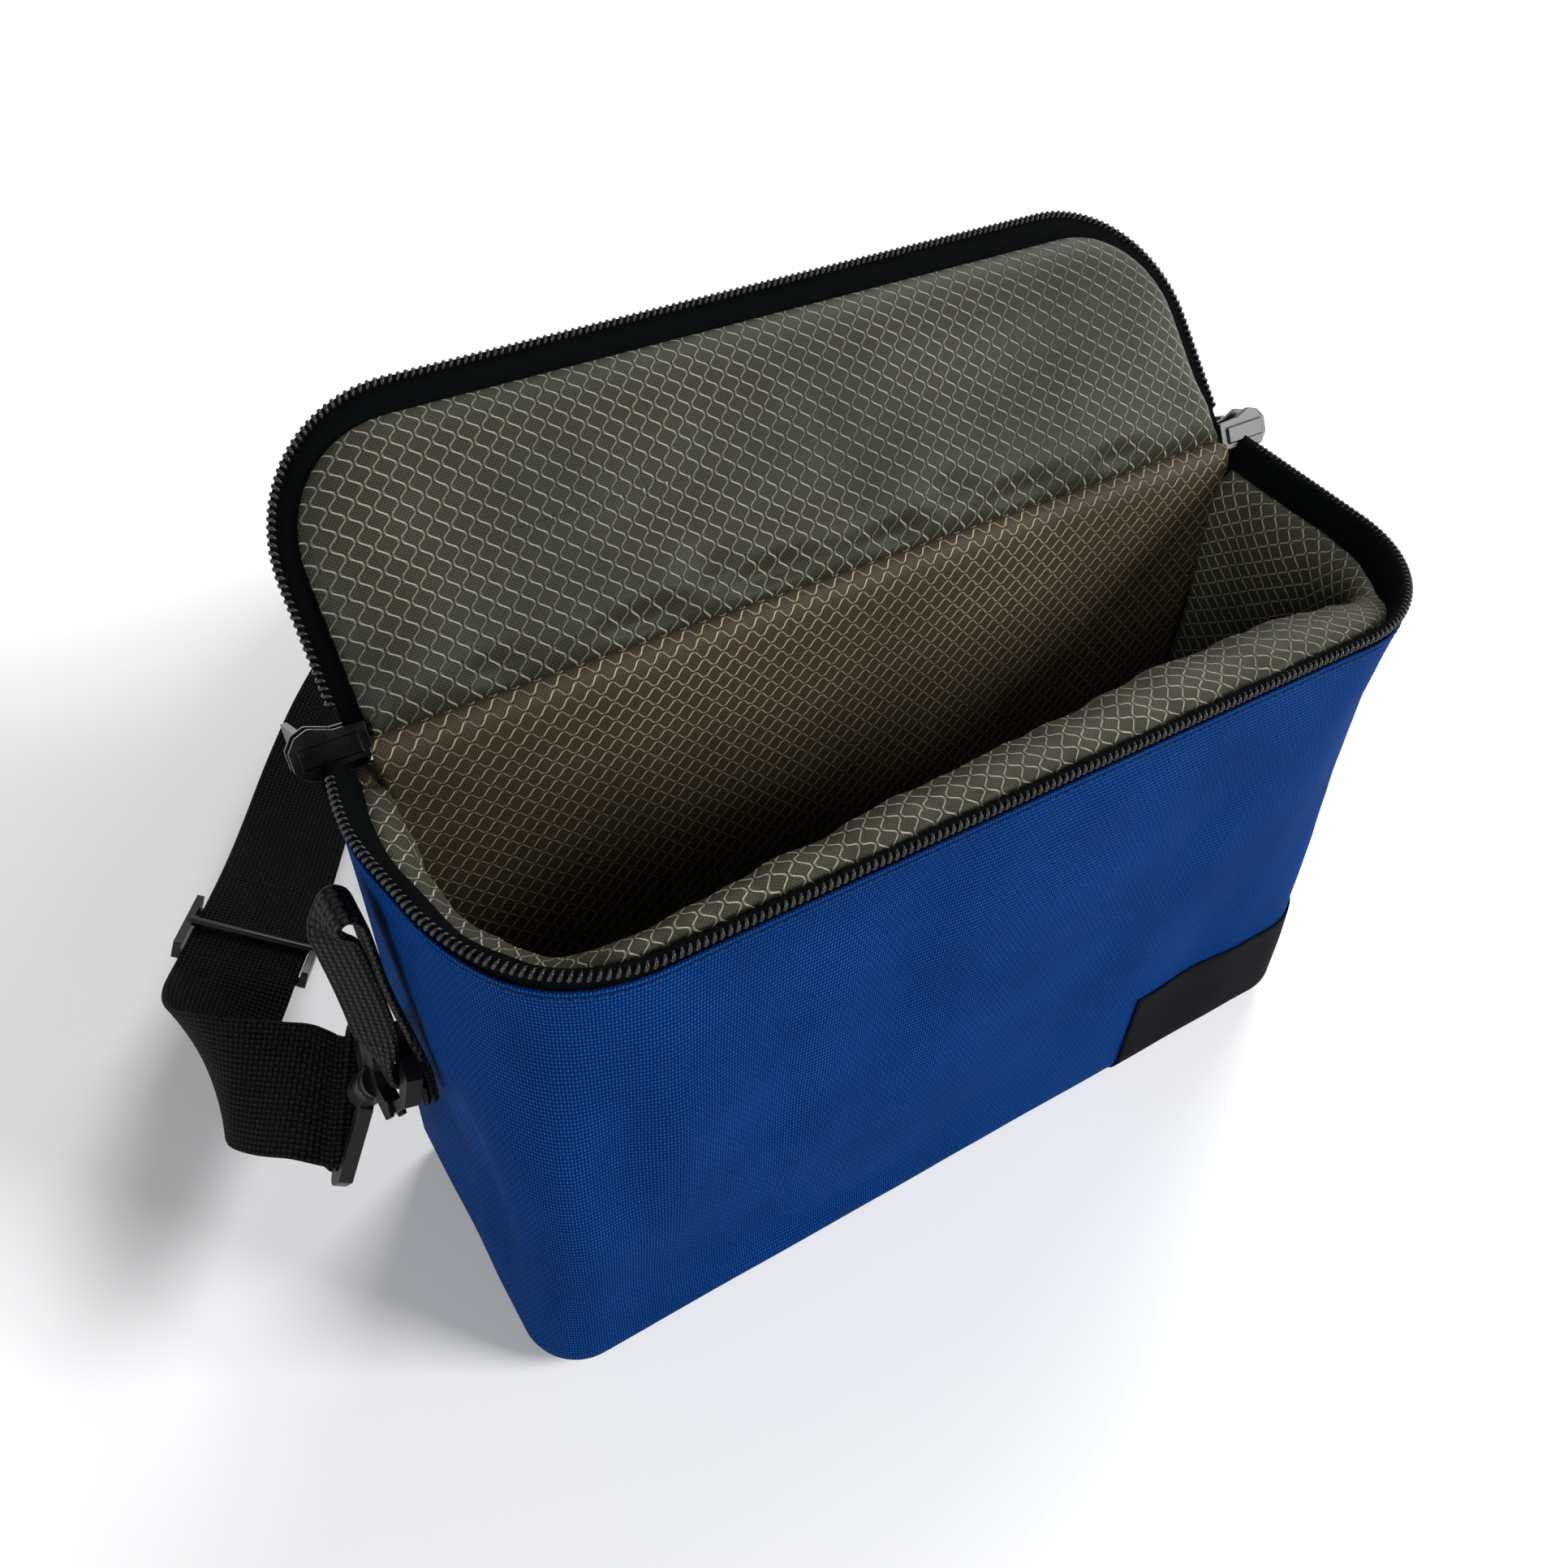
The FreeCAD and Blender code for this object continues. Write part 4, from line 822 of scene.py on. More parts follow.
back = flat_panel("back_panel", panel_x, panel_z, on_back, BACK_WOBBLE)
finish_piece(back, "root", blue_nylon, "blue_nylon", "shell_back")
thicken(back, CLOTH_GAUGE)
base_x = np.linspace(14 - HALF_WIDTH, HALF_WIDTH - 14, 50)
base_y = np.linspace(14 - HALF_DEPTH, HALF_DEPTH - 2, 20)
base = flat_panel("bottom_panel", base_x * 1.04, base_y, lambda x, y, lift: (x, y, 0.6 + 0 * lift), 0)
finish_piece(base, "root", blue_nylon, "blue_nylon", "shell_bottom")
thicken(base, CLOTH_GAUGE)
print(f"back panel {panel_x[-1] - panel_x[0]:.0f} mm wide, bottom panel {base_y[-1] - base_y[0]:.0f} mm deep")

# %% [markdown]
# Inside, foam and lining make one soft wall round the front and sides. Its section is a closed loop:
# up behind the wrap, over a fat roll at the top, and down the inner face. Along the front the roll comes
# up to the zip and bulges inward; at the sides it stops lower and leaves the tape showing.
# A cloth simulation could swell this wall too, but it wants the mesh remeshed, and that would lose the
# map that the lining's threads follow. So the bulges are a short list, read off.

# %% The roll's height and bulges
WALL_TOP_SIDE, WALL_TOP_FRONT = RIM - 6.2, RIM + 0.9
WALL_BACK = HALF_DEPTH - 9.6
WALL_COUNTS = (22, 20, 110, 20, 22)
OUTER_ROWS = 24
BEHIND_WRAP = 1.7
DEEPEST_BULGE = 18
# The roll's section: depth inward, share of the bulge that is added to it, and height above the top
ROLL = [(1.5, 0, -4), (1.7, 0, -1.4), (2.6, 0, -0.1), (4.6, 0.1, 0.9), (7.0, 0.4, 0.6), (8.8, 0.75, -1.6),
        (9.6, 0.9, -6), (9.6, 1, -11), (9.4, 0.92, -18), (9.2, 0.7, -28), (9.2, 0.42, -42)]
# Along the U, and how far the roll bulges inward there
BULGES = [(-240, 3), (-205, 6.5), (-175, 4), (-150, 5.5), (-120, 2.5), (-96, 4.5), (-60, 9), (-20, 12.5),
          (20, 15.5), (64, 17.5), (96, 16), (122, 11), (146, 3.5), (180, 4), (240, 2.5)]


def aside(along):
    """0 along the front and 1 at the sides."""
    return ease((np.abs(along) - 112) / 34)


def wall_top(along):
    """Height of the wall's top: high along the front, low at the sides, a little wavy."""
    wave = 0.7 * ripple(along, along * 0, 16, 2.2) + 0.35 * ripple(along, along * 0, 7, 4.2)
    return WALL_TOP_FRONT + (WALL_TOP_SIDE - WALL_TOP_FRONT) * aside(along) + wave * (1 - 0.6 * aside(along))


def eased(where, depth):
    """A broken line with its corners eased, as many close points."""
    close = np.linspace(where[0], where[-1], 400)
    line = np.interp(close, where, depth)
    soften = np.hanning(21) / np.hanning(21).sum()
    return close, np.convolve(np.pad(line, 10, "edge"), soften, "valid")


def wall_bulge(along):
    """How far the roll bulges inward, from the list and a little unevenness."""
    where, depth = np.array(BULGES, float).T
    total = np.interp(along, *eased(where, depth))
    total += 1.1 * ripple(along, along * 0, 20, 6.6) + 0.7 * ripple(along, along * 0, 9, 1.6)
    return np.clip(total, 0, DEEPEST_BULGE)


print(f"roll: {WALL_TOP_FRONT:.1f} mm high along the front, {WALL_TOP_SIDE:.1f} mm at the sides")

# %% [markdown]
# Each point of the section now goes all the way round the U, and the rows that it leaves are joined into
# a tube. Behind the wrap it has to follow every dent, or foam would come through the nylon. A boolean
# cut could trim it, but it is cleaner to keep the foam the same distance behind the wrap from the start.

# %% Padded wall
def padded_wall():
    """The wall, as closed sections from the left end to the right one."""
    xy, out, along = u_line(HALF_WIDTH, HALF_DEPTH, WALL_BACK, RIM_CORNER, WALL_COUNTS)
    top, bulge = wall_top(along), wall_bulge(along)
    # Depth inward from the outer face, and height: shares of the way up, and drops below the top
    section = []
    for share in np.linspace(0.06, 0.93, OUTER_ROWS):
        section.append((1.0 + 0 * top, share * top))
    section += [(deep + share * bulge, top + rise) for deep, share, rise in ROLL]
    for share in np.linspace(0.70, 0.055, 12):
        section.append((9.2 + 0.2 * bulge * max(share - 0.45, 0), share * top))
    rings = []
    for k, (deep, height) in enumerate(section):
        # Each column has its own height, so it takes its place from the plan with that height's corner
        tight = np.clip(corner_at(height), 0, RIM_CORNER)
        plans = [u_line(HALF_WIDTH, HALF_DEPTH, WALL_BACK, c, WALL_COUNTS) for c in tight]
        plan = np.array([p[0][n] for n, p in enumerate(plans)])
        here = np.array([p[2][n] for n, p in enumerate(plans)])
        soft = 0.35 * ripple(along, height, 20, 9.3) * (k >= OUTER_ROWS)
        behind = (wrap_sag(here, height) + BEHIND_WRAP) * (k < OUTER_ROWS + 3)
        ring = plan - out * (deep + soft + behind - flare(along, height))[:, None]
        rings.append(np.column_stack([ring, height]))
    rings = np.array(rings[::-1]).transpose(1, 0, 2)
    return tube("padded_wall", rings, round_and_along(rings, along)[..., ::-1])


wall = finish_piece(padded_wall(), "root", wall_lining, "lining_cloth", "foam_front", "lining_front",
                    "foam_left", "lining_left", "foam_right", "lining_right")
print(f"padded wall: {len(wall.data.vertices)} points")

# %% [markdown]
# The back wall and the floor of the bag are plainer pads. A cube with round edges could serve. Here two
# grids meet at a round edge, so that the lining's threads run straight over both faces. The back wall's
# lining is a warmer copy, with the warm light on it painted in, and the floor's a nearly black copy,
# with the shade deep in the bag painted in.

# %% Back pad and floor pad
def slab(name, low, high, flat, softness, seed, turned=False):
    """A pad between two corners with round edges; flat names the two axes that the cloth lies along,
    and turned lays its threads along the first of them."""
    low, high = np.array(low, float), np.array(high, float)
    middle, half = (low + high) / 2, (high - low) / 2
    a, b = flat
    c = 3 - a - b
    counts = [max(int(2 * half[k] / 5), 6) for k in (a, b)]
    u, v = np.meshgrid(np.linspace(-1, 1, counts[0]), np.linspace(-1, 1, counts[1]))
    near = np.minimum((1 - np.abs(u)) * half[a], (1 - np.abs(v)) * half[b])
    full = np.sqrt(np.clip(1 - (1 - np.clip(near / half[c], 0, 1)) ** 2, 0, 1))
    faces = []
    for side in (1, -1):
        points = np.zeros(u.shape + (3,))
        points[..., a], points[..., b] = middle[a] + u * half[a], middle[b] + v * half[b]
        wave = softness * ripple(points[..., a], points[..., b], 24, seed + side) * full
        points[..., c] = middle[c] + side * (half[c] * full - np.clip(wave, 0, softness))
        faces.append(points)
    both = np.concatenate([faces[0], faces[1][::-1]], 0)
    laid = (v * half[b], u * half[a]) if turned else (u * half[a], v * half[b])
    cloth = np.concatenate([np.stack(laid, -1)] * 2, 0)
    piece = sheet(name, both, cloth)
    piece.modifiers.new("join", "WELD").merge_threshold = 0.02 * MM
    print(f"{name}: {2 * half[c]:.1f} mm thick")
    return piece


X, Y, Z = 0, 1, 2
back_pad = slab("back_pad", (-148.8, HALF_DEPTH - 9.2, 3), (148.8, HALF_DEPTH - 1.7, BACK_TOP + 4), (X, Z),
                softness=0.8, seed=2.5, turned=True)
# The back pad's lining copy has the warm light on the back wall painted in
finish_piece(back_pad, "root", painted_warm_light_lining, "lining_cloth", "foam_back", "lining_back")
# The floor pad's lining copy is nearly black: the shade deep in the bag painted in
floor_pad = slab("floor_pad", (-138, -37, 1.6), (138, 38.5, 9.2), (X, Y), softness=0.6, seed=4.5)
finish_piece(floor_pad, "root", painted_shade_lining, "lining_cloth", "foam_bottom", "lining_bottom")

# %% [markdown]
# A coil zip is one thread of nylon wound like a flat spring along the tape. Winding it for real gives
# every tooth its own highlight. The coil follows the rim, and a second one follows the lid's edge.
# First we need the line that it follows. A curve object could hold it, but plain rows of points with
# their outward directions are easier to read, to space evenly and to pull out of true.

# %% Zip tracks
COIL_PITCH = 2.0
COIL_STEPS = 10
CORE_SPACING = 2.5


def track(half, front, back, corner, spacing):
    """Evenly spaced points and outward directions along the U of a zip."""
    xy, out, along = u_line(half, front, back, corner, (60, 60, 200, 60, 60))
    wanted = np.arange(along[0], along[-1], spacing)
    return read_at(wanted, along, xy), read_at(wanted, along, out), wanted


def flared(line):
    """The same track, pulled outward with the wrap."""
    xy, out, along = line
    return xy + out * flare(along, RIM)[:, None], out, along

# %% [markdown]
# The winding is a flattened helix. An Array of one tooth along a curve could stand for it, but the teeth
# would shear at the corners. So we wind the thread itself: its middle line first, then a small ring of
# points round each step of it, a little thicker on the outside, where a real coil is pressed flat.

# %% Winding a coil
WIRE_SIDES = 6
UPRIGHT = np.array([0, 0, 1.0])


def wind_coil(line, level, width, height, wire):
    """A flattened helix round a zip track: width across the zip, height square to its tape."""
    xy, out, along = line
    angle = along / COIL_PITCH * 2 * math.pi
    outward = at_height(out) * np.cos(angle)[:, None]
    upward = UPRIGHT * np.sin(angle)[:, None]
    centre = at_height(xy, level) + outward * (width / 2 - wire) + upward * (height / 2 - wire)
    run = unit(np.gradient(centre, axis=0))
    side = square_to(outward + upward, run)
    other = np.cross(run, side)
    thick = wire * (1 + 0.22 * np.cos(angle))[:, None, None]
    turn = np.linspace(0, 2 * math.pi, WIRE_SIDES, endpoint=False)[:, None]
    rings = centre[:, None] + thick * (side[:, None] * np.cos(turn) + other[:, None] * np.sin(turn))
    round_it = np.linspace(0, 2 * math.pi * wire, WIRE_SIDES + 1)
    cloth = np.stack(np.broadcast_arrays(round_it[None], along[:, None] * 4), -1)
    return rings, cloth

# %% [markdown]
# The tape, and the cord inside the coil, are bands: one section carried along the track. A bevelled curve
# does that for one section, and here the section has to change on the way, so we carry it ourselves.

# %% Bands along a track
def swept_band(line, section):
    """Rings carried along a track. The section is pairs of outward distance and height, one for all
    or one for each point of the track."""
    xy, out, along = line
    section = np.broadcast_to(np.array(section, float), (len(xy), np.shape(section)[-2], 2))
    rings = at_height(xy)[:, None] + at_height(out)[:, None] * section[..., :1] + UPRIGHT * section[..., 1:]
    return rings, round_and_along(section, along)


def oval(width, height, middle):
    """The section of a coil's core."""
    turn = np.linspace(0, 2 * math.pi, 10, endpoint=False)
    return [(middle[0] + width / 2 * math.cos(a), middle[1] + height / 2 * math.sin(a)) for a in turn]

# %% [markdown]
# Now the rim's own zip. On the real bag the tape is sewn in between wrap and lining and stands up round
# the opening, with the coil woven to its edge. It could be left as a flat strip, but in the photograph it
# leans in at the sides, where the foam stops lower, so it has two sections and a blend between them.

# %% The rim's zip
RIM_END = HALF_DEPTH - 10
COIL_SET = 0.9
COIL_LEVEL = RIM + 1.7
coil_plan = (HALF_WIDTH - COIL_SET, HALF_DEPTH - COIL_SET, RIM_END, RIM_CORNER - COIL_SET)
rim_fine = flared(track(*coil_plan, COIL_PITCH / COIL_STEPS))
rim_line = flared(track(*coil_plan, CORE_SPACING))
rim_coil = tube("rim_coil", *wind_coil(rim_fine, COIL_LEVEL, width=2.9, height=2.8, wire=0.46))
finish_piece(rim_coil, "root", coil_plastic, "zip_coil", "rim_zip_coil")
rim_core = tube("rim_coil_core", *swept_band(rim_line, oval(1.9, 1.9, (0, RIM + 1.6))))
finish_piece(rim_core, "root", zip_tape, "zip_tape")

# The tape stands behind the wrap's edge and folds over the coil's inner half; at the sides it leans in
TAPE_FRONT = np.array([(-1.5, -11.5), (-0.5, -5), (0.3, -0.4), (0.5, 1.7), (0.0, 3.1), (-1.5, 2.7),
                       (-2.0, -2), (-2.4, -11.5)]) + (0, RIM)
TAPE_SIDE = np.array([(-1.2, -8), (-0.4, -5), (0.3, -0.4), (0.5, 1.7), (0.0, 3.0), (-2.2, 1.7),
                      (-4.6, -1.6), (-6.8, -6.4)]) + (0, RIM)
tape_line = flared(track(*coil_plan[:2], HALF_DEPTH - 1.6, coil_plan[3], CORE_SPACING))
leaning = aside(tape_line[2])[:, None, None]
tape_rings = TAPE_FRONT * (1 - leaning) + TAPE_SIDE * leaning
tape_rings[:, 5:, 1] += 0.5 * ripple(tape_line[2], tape_line[2] * 0, 14, 4.8)[:, None]
rim_tape = tube("rim_tape", *swept_band(tape_line, tape_rings[:, ::-1]))
finish_piece(rim_tape, "root", zip_tape, "zip_tape", "rim_zip_tape")
print(f"rim coil: {(rim_fine[2][-1] - rim_fine[2][0]) / COIL_PITCH:.0f} turns")

# %% [markdown]
# The lid is made closed, where it is easy to think about, and then turned open about the hinge line.
# Its pad is a crowned cushion: rings of its outline, each further in and higher, down to a middle line.
# Dents and hinge folds are added to the crown, because a used lid is never smooth. An inflated cushion
# would find its own folds, and these have to lie where the photograph has them.

# %% Lid pad
LID_SEAM = HINGE_Z + 5.2
PAD_HALF, PAD_FRONT, PAD_BACK, PAD_CORNER = 139.2, 38.0, 36.0, 32.0
PAD_CROWN, CROWN_REACH = 9.4, 24
# Place across and along the lid, reach both ways, depth
LID_DENTS = [
    (-50, 4, 20, 9, 3.0), (-20, 14, 26, 7, 1.8), (70, -4, 30, 12, 1.2), (-95, -8, 26, 12, 1.2),
    (-106, 31, 11, 4, 7.0), (-64, 32, 13, 3.8, 9.0), (-26, 31, 12, 4.5, 10.0), (12, 32, 15, 3.8, 9.0),
    (58, 32, 13, 3.8, 8.5), (96, 32, 10, 3.6, 7.5), (-44, 23, 7, 5, 3.4), (34, 24, 8, 5, 3.0),
]


def open_lid(points):
    """Turn points from the closed lid to where the lid stands open."""
    c, s = math.cos(-LID_OPEN), math.sin(-LID_OPEN)
    y, z = points[..., 1] - HINGE_Y, points[..., 2] - HINGE_Z
    return np.stack([points[..., 0], HINGE_Y + y * c - z * s, HINGE_Z + y * s + z * c], -1)


def lid_ring(inset, half, front, corner, rear_points):
    """A cushion's outline at one distance in: the U, then back along the hinge side."""
    half, front, back_edge = half - inset, front - inset, PAD_BACK - inset
    xy = u_line(half, front, back_edge, min(corner, front + back_edge - 0.5), (18, 12, 70, 12, 18))[0]
    rear = np.linspace(half, -half, rear_points + 2)[1:-1]
    return np.concatenate([xy, np.column_stack([rear, np.full(len(rear), back_edge)])])


def crown(x, y, inset):
    """How far the pad stands out from the lid's seam."""
    # Beside the hinge the pad rises more steeply, as a roll
    reach = CROWN_REACH - 13 * ease((y - 12) / 14)
    share = np.clip(inset / reach, 0, 1)
    swell = PAD_CROWN * np.sqrt(1 - (1 - share) ** 2)
    soft = share * (0.5 * ripple(x, y, 30, 1.9) + 0.22 * ripple(x, y, 12, 7.7))
    fold = 0.9 * np.exp(-((y - 31) / 5) ** 2) * ripple(x, y, 11, 5.1) * ease(inset / 3)
    for px, py, reach, rise, depth in LID_DENTS:
        soft -= share * depth * np.exp(-((x - px) / reach) ** 2 - ((y - py) / rise) ** 2)
    return swell + soft + fold


def lid_pad():
    """The crowned cushion, made closed and turned open."""
    rings, cloth = [], []
    for inset in np.concatenate([[0, 0.4, 1.0, 2.0, 3.4], np.linspace(5, 36.6, 20)]):
        xy = lid_ring(inset, PAD_HALF, PAD_FRONT, max(PAD_CORNER - inset, 1.5), 76)[::-1]
        rings.append(np.column_stack([xy, LID_SEAM - 0.3 - crown(*xy.T, inset)]))
        cloth.append(np.concatenate([xy, xy[:1]]))
    return tube("lid_pad", open_lid(np.array(rings)), np.array(cloth))


pad = finish_piece(lid_pad(), "lid", lid_lining, "lining_cloth", "lid_foam", "lid_lining")
# The middle of the lid's seam, and the way that the pad faces there, turned open with the lid
seam_middle = open_lid(np.array([0, 0, float(LID_SEAM)]))
pad_faces = seam_middle - open_lid(np.array([0, 0, LID_SEAM + 1.0]))
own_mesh(pad)
print(f"lid pad: {len(pad.data.vertices)} points")

# %% [markdown]
# Round the pad runs the zip's tape, flat in the lid's plane, and the second coil on its edge. Both could
# be copied from the rim, but the lid is a little narrower, so the same helpers run along its own track.

# %% Lid tape and coil
LID_HALF, LID_FRONT, LID_CORNER, LID_WING = HALF_WIDTH - 3.5, HALF_DEPTH, 43, HINGE_Y - 14.2
LID_COIL = 3.2
LID_COIL_LEVEL = LID_SEAM + 0.7


def lid_track(inset, spacing, back_edge=LID_WING):
    """A track round the closed lid, inside its edge."""
    return track(LID_HALF - inset, LID_FRONT - inset, back_edge, LID_CORNER - inset, spacing)


lid_fine = lid_track(LID_COIL / 2, COIL_PITCH / COIL_STEPS)
rings, cloth = wind_coil(lid_fine, LID_COIL_LEVEL, width=2.8, height=2.5, wire=0.54)
lid_coil = tube("lid_coil", open_lid(rings), cloth)
finish_piece(lid_coil, "lid", coil_plastic, "zip_coil", "lid_zip_coil")
rings, cloth = swept_band(lid_track(LID_COIL / 2, CORE_SPACING), oval(1.8, 1.6, (0, LID_COIL_LEVEL)))
finish_piece(tube("lid_coil_core", open_lid(rings), cloth), "lid", zip_tape, "zip_tape")

lid_line = lid_track(LID_COIL, CORE_SPACING, PAD_BACK - 0.6)
wavy = 0.5 * ripple(lid_line[2], lid_line[2] * 0, 22, 3.3)
tape_section = [(0.9, LID_SEAM + 0.2), (-4, LID_SEAM - 0.1), (-9.4, LID_SEAM - 0.2), (-9.4, LID_SEAM + 0.5),
                (-4, LID_SEAM + 0.6), (0.9, LID_SEAM + 0.9)]
rings, cloth = swept_band(lid_line, tape_section)
rings[:, 1:5, 2] += wavy[:, None]
lid_tape = tube("lid_tape", open_lid(rings), cloth)
finish_piece(lid_tape, "lid", zip_tape, "zip_tape", "lid_zip_tape")
print(f"lid coil: {(lid_fine[2][-1] - lid_fine[2][0]) / COIL_PITCH:.0f} turns")

# %% [markdown]
# The lid's outer side is blue nylon over the same foam: a shallow cushion, seamed to the tape. One closed
# cushion could be both sides of the lid, but they are different cloths, so it is made as the pad is, from
# rings of its outline, and rises the other way.

# %% Lid cover
def lid_cover():
    """The outer cushion: rings of its outline, rising inward from the seam."""
    rings, cloth = [], []
    for inset in np.concatenate([[0.2, 0.2, 1.0, 2.4, 4.5], np.linspace(7, 33, 12)]):
        corner = max(LID_CORNER - LID_COIL - inset, 2)
        xy = lid_ring(inset, LID_HALF - LID_COIL, LID_FRONT - LID_COIL, corner, 70)
        share = np.clip(inset / 20, 0, 1)
        height = LID_SEAM + 0.7 + 3.2 * np.sqrt(1 - (1 - share) ** 2) + share * 0.5 * ripple(*xy.T, 34, 2.8)
        if not rings:
            height = np.full(len(xy), LID_SEAM + 0.5)
        rings.append(np.column_stack([xy, height]))
        cloth.append(np.concatenate([xy, xy[:1]]))
    return tube("lid_cover", open_lid(np.array(rings)), np.array(cloth))


cover = finish_piece(lid_cover(), "lid", blue_nylon, "blue_nylon", "lid_shell")
print(f"lid cover: {len(cover.data.vertices)} points")

# %% [markdown]
# The hinge is cloth: lining on the inside and blue nylon on the outside, sewn to the back wall below and
# to the lid above. The lining comes up the whole back wall in one piece, and two short tapes close the
# corners.

# %% Hinge cloths
HINGE_COLUMNS = 90


def strip_along_x(name, profile, reach, wobble):
    """A strip of cloth along the hinge, between two x, with the given profile of (y, z) points."""
    profile = np.array(profile, float)
    x = np.linspace(*reach, HINGE_COLUMNS)
    height = lengths(profile)
    points = np.zeros((len(profile), HINGE_COLUMNS, 3))
    points[..., 0] = x
    points[..., 1:] = profile[:, None]
    inner = np.sin(np.linspace(0, math.pi, len(profile)))[:, None]
    points[..., 2] += wobble * inner * ripple(*np.meshgrid(x, height), 13, 2.1)
    cloth = np.stack(np.meshgrid(x, height)[::-1], -1)
    return sheet(name, points, cloth)


def hinge_cloth(name, profile, reach, finish, node, wobble):
    """A strip that lies on a piece and bends between two of its profile's points."""
    piece = strip_along_x(name, profile, reach, wobble)
    thicken(piece, HINGE_GAUGE)
    piece.data.materials.append(finish)
    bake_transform(piece)
    if node:
        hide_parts(node)
    print(f"{name}: {reach[1] - reach[0]:.1f} mm wide, {lengths(np.array(profile, float))[-1]:.1f} mm long")


# Profiles run from the bag up to the lid, as distance back and height
inner_profile = [(38.4, 6), (38.4, 32), (38.4, 60), (38.4, 90), (38.4, 118), (38.4, 132), (38.3, 146),
                 (38.3, 158), (38.4, 168), (38.7, 175), (39.3, 179.4), (40.4, 182.6), (42.0, 184.6),
                 (43.8, 185.5), (45.4, 185.6), (46.6, 184.9)]
# The hinge lining runs down the back wall, so it takes the copy with the warm light painted in
hinge_cloth("hinge_lining", inner_profile, (-141, 141), painted_warm_light_lining, "lid_hinge_flange",
            wobble=0.25)
outer_profile = [(47.9, 172), (48.0, 174.5), (48.1, 177), (48.1, 179.4), (48.0, 181.4), (48.2, 183.2),
                 (49.6, 184.6)]
hinge_cloth("hinge_cover", outer_profile, (-136, 136), blue_nylon, "hinge_strip",
            wobble=0.1)
gusset_profile = [(46.9, 168), (46.9, 173), (46.9, 177), (47.0, 180.5), (47.1, 183), (47.9, 185.2),
                  (49.2, 187)]
for side, reach in (("left", (-139.6, -129.2)), ("right", (129.2, 139.6))):
    hinge_cloth("hinge_tape_" + side, gusset_profile, reach, zip_tape, None,
                wobble=0.1)

# %% [markdown]
# The shoulder strap is flat webbing that twists as it lies. A bevelled curve with a tilt at each point
# could make it, but tilts are hard to picture. Its two edges are easier: each follows a short list of
# points, the same as in the solid model, and a smooth curve runs through them.

# %% The strap's two edges
STRAP_WIDTH, STRAP_GAUGE = 38.1, 1.4
STRAP_STEPS = 6
# The two edges of the strap's left half, from the hook to the middle behind the bag
STRAP_ROUTE = [
    ((-166.6, 52, 71.2), (-183.7, 19.8, 60)), ((-172, 55, 76), (-191, 26.5, 60)),
    ((-180, 59.5, 78), (-199, 35, 55.5)), ((-191, 66.5, 78.5), (-204.5, 45.5, 49.5)),
    ((-199.5, 76, 75), (-203.5, 56.5, 42.5)), ((-205, 86, 68.5), (-198.5, 67, 36.5)),
    ((-207, 96.5, 61.5), (-191, 77, 32.5)), ((-206, 107.5, 54), (-183, 87.5, 31)),
    ((-203, 118, 47), (-175, 97.5, 31)), ((-197.8, 128.7, 42.4), (-167.3, 108.1, 30.9)),
    ((-175.8, 166.8, 30.8), (-145.3, 146.2, 19.3)), ((-159, 198, 23), (-127.5, 178, 13.5)),
    ((-139, 225.5, 26), (-111.5, 207, 7)), ((-117, 249.5, 31.5), (-96.5, 236, 3)),
    ((-92, 271, 37), (-80, 264.5, 2)), ((-64, 289, 41.5), (-59.5, 290.5, 4)),
    ((-33, 300.5, 45), (-32.5, 309, 8)), ((0, 303, 46), (0, 314, 9.5)),
]


def through(points, steps):
    """A smooth curve through points, steps per span."""
    points = np.asarray(points, float)
    padded = np.concatenate([2 * points[:1] - points[1:2], points, 2 * points[-1:] - points[-2:-1]])
    t = np.linspace(0, 1, steps, endpoint=False)[:, None]
    spans = []
    for a, b, c, d in zip(padded, padded[1:], padded[2:], padded[3:]):
        spans.append(0.5 * (2 * b + (c - a) * t + (2 * a - 5 * b + 4 * c - d) * t ** 2
                            + (3 * b - a - 3 * c + d) * t ** 3))
    return np.concatenate([*spans, points[-1:]])


left = [(np.array(a, float), np.array(b, float)) for a, b in STRAP_ROUTE]
mirror = np.array([-1, 1, 1])
whole = left + [(a * mirror, b * mirror) for a, b in left[-2::-1]]
top_edge = through([a for a, _ in whole], STRAP_STEPS)
low_edge = through([b for _, b in whole], STRAP_STEPS)
strap_middle, strap_across = (top_edge + low_edge) / 2, top_edge - low_edge
strap_walk = lengths(strap_middle)
print(f"strap: {strap_walk[-1]:.0f} mm between the hooks")

# %% [markdown]
# Between those edges lies the webbing. A flat strip with a Solidify would have sharp corners, and woven
# webbing has none, so we carry a thin section with half-round edges along the strap's middle line.

# %% Webbing
def ribbon(name, middle, edge):
    """Webbing through middle points with the direction of its width at each, and round edges."""
    edge = unit(edge)
    face = unit(np.cross(edge, np.gradient(middle, axis=0)))
    half, flat = STRAP_GAUGE / 2, STRAP_WIDTH / 2 - STRAP_GAUGE / 2
    across = np.linspace(-1, 1, 9) * flat
    turn = np.linspace(-math.pi / 2, math.pi / 2, 5)[1:-1]
    section = np.array([(a, -half) for a in across]
                       + [(flat + half * math.cos(t), half * math.sin(t)) for t in turn]
                       + [(a, half) for a in across[::-1]]
                       + [(-flat - half * math.cos(t), -half * math.sin(t)) for t in turn])
    rings = middle[:, None] + edge[:, None] * section[None, :, :1] + face[:, None] * section[None, :, 1:]
    section = np.broadcast_to(section, (len(middle), *section.shape))
    return tube(name, rings, round_and_along(section, lengths(middle)))


strap = ribbon("shoulder_strap_webbing", strap_middle, strap_across)
finish_piece(strap, "root", strap_webbing, "strap_webbing", "shoulder_strap")
print(f"strap: {len(strap.data.vertices)} points")

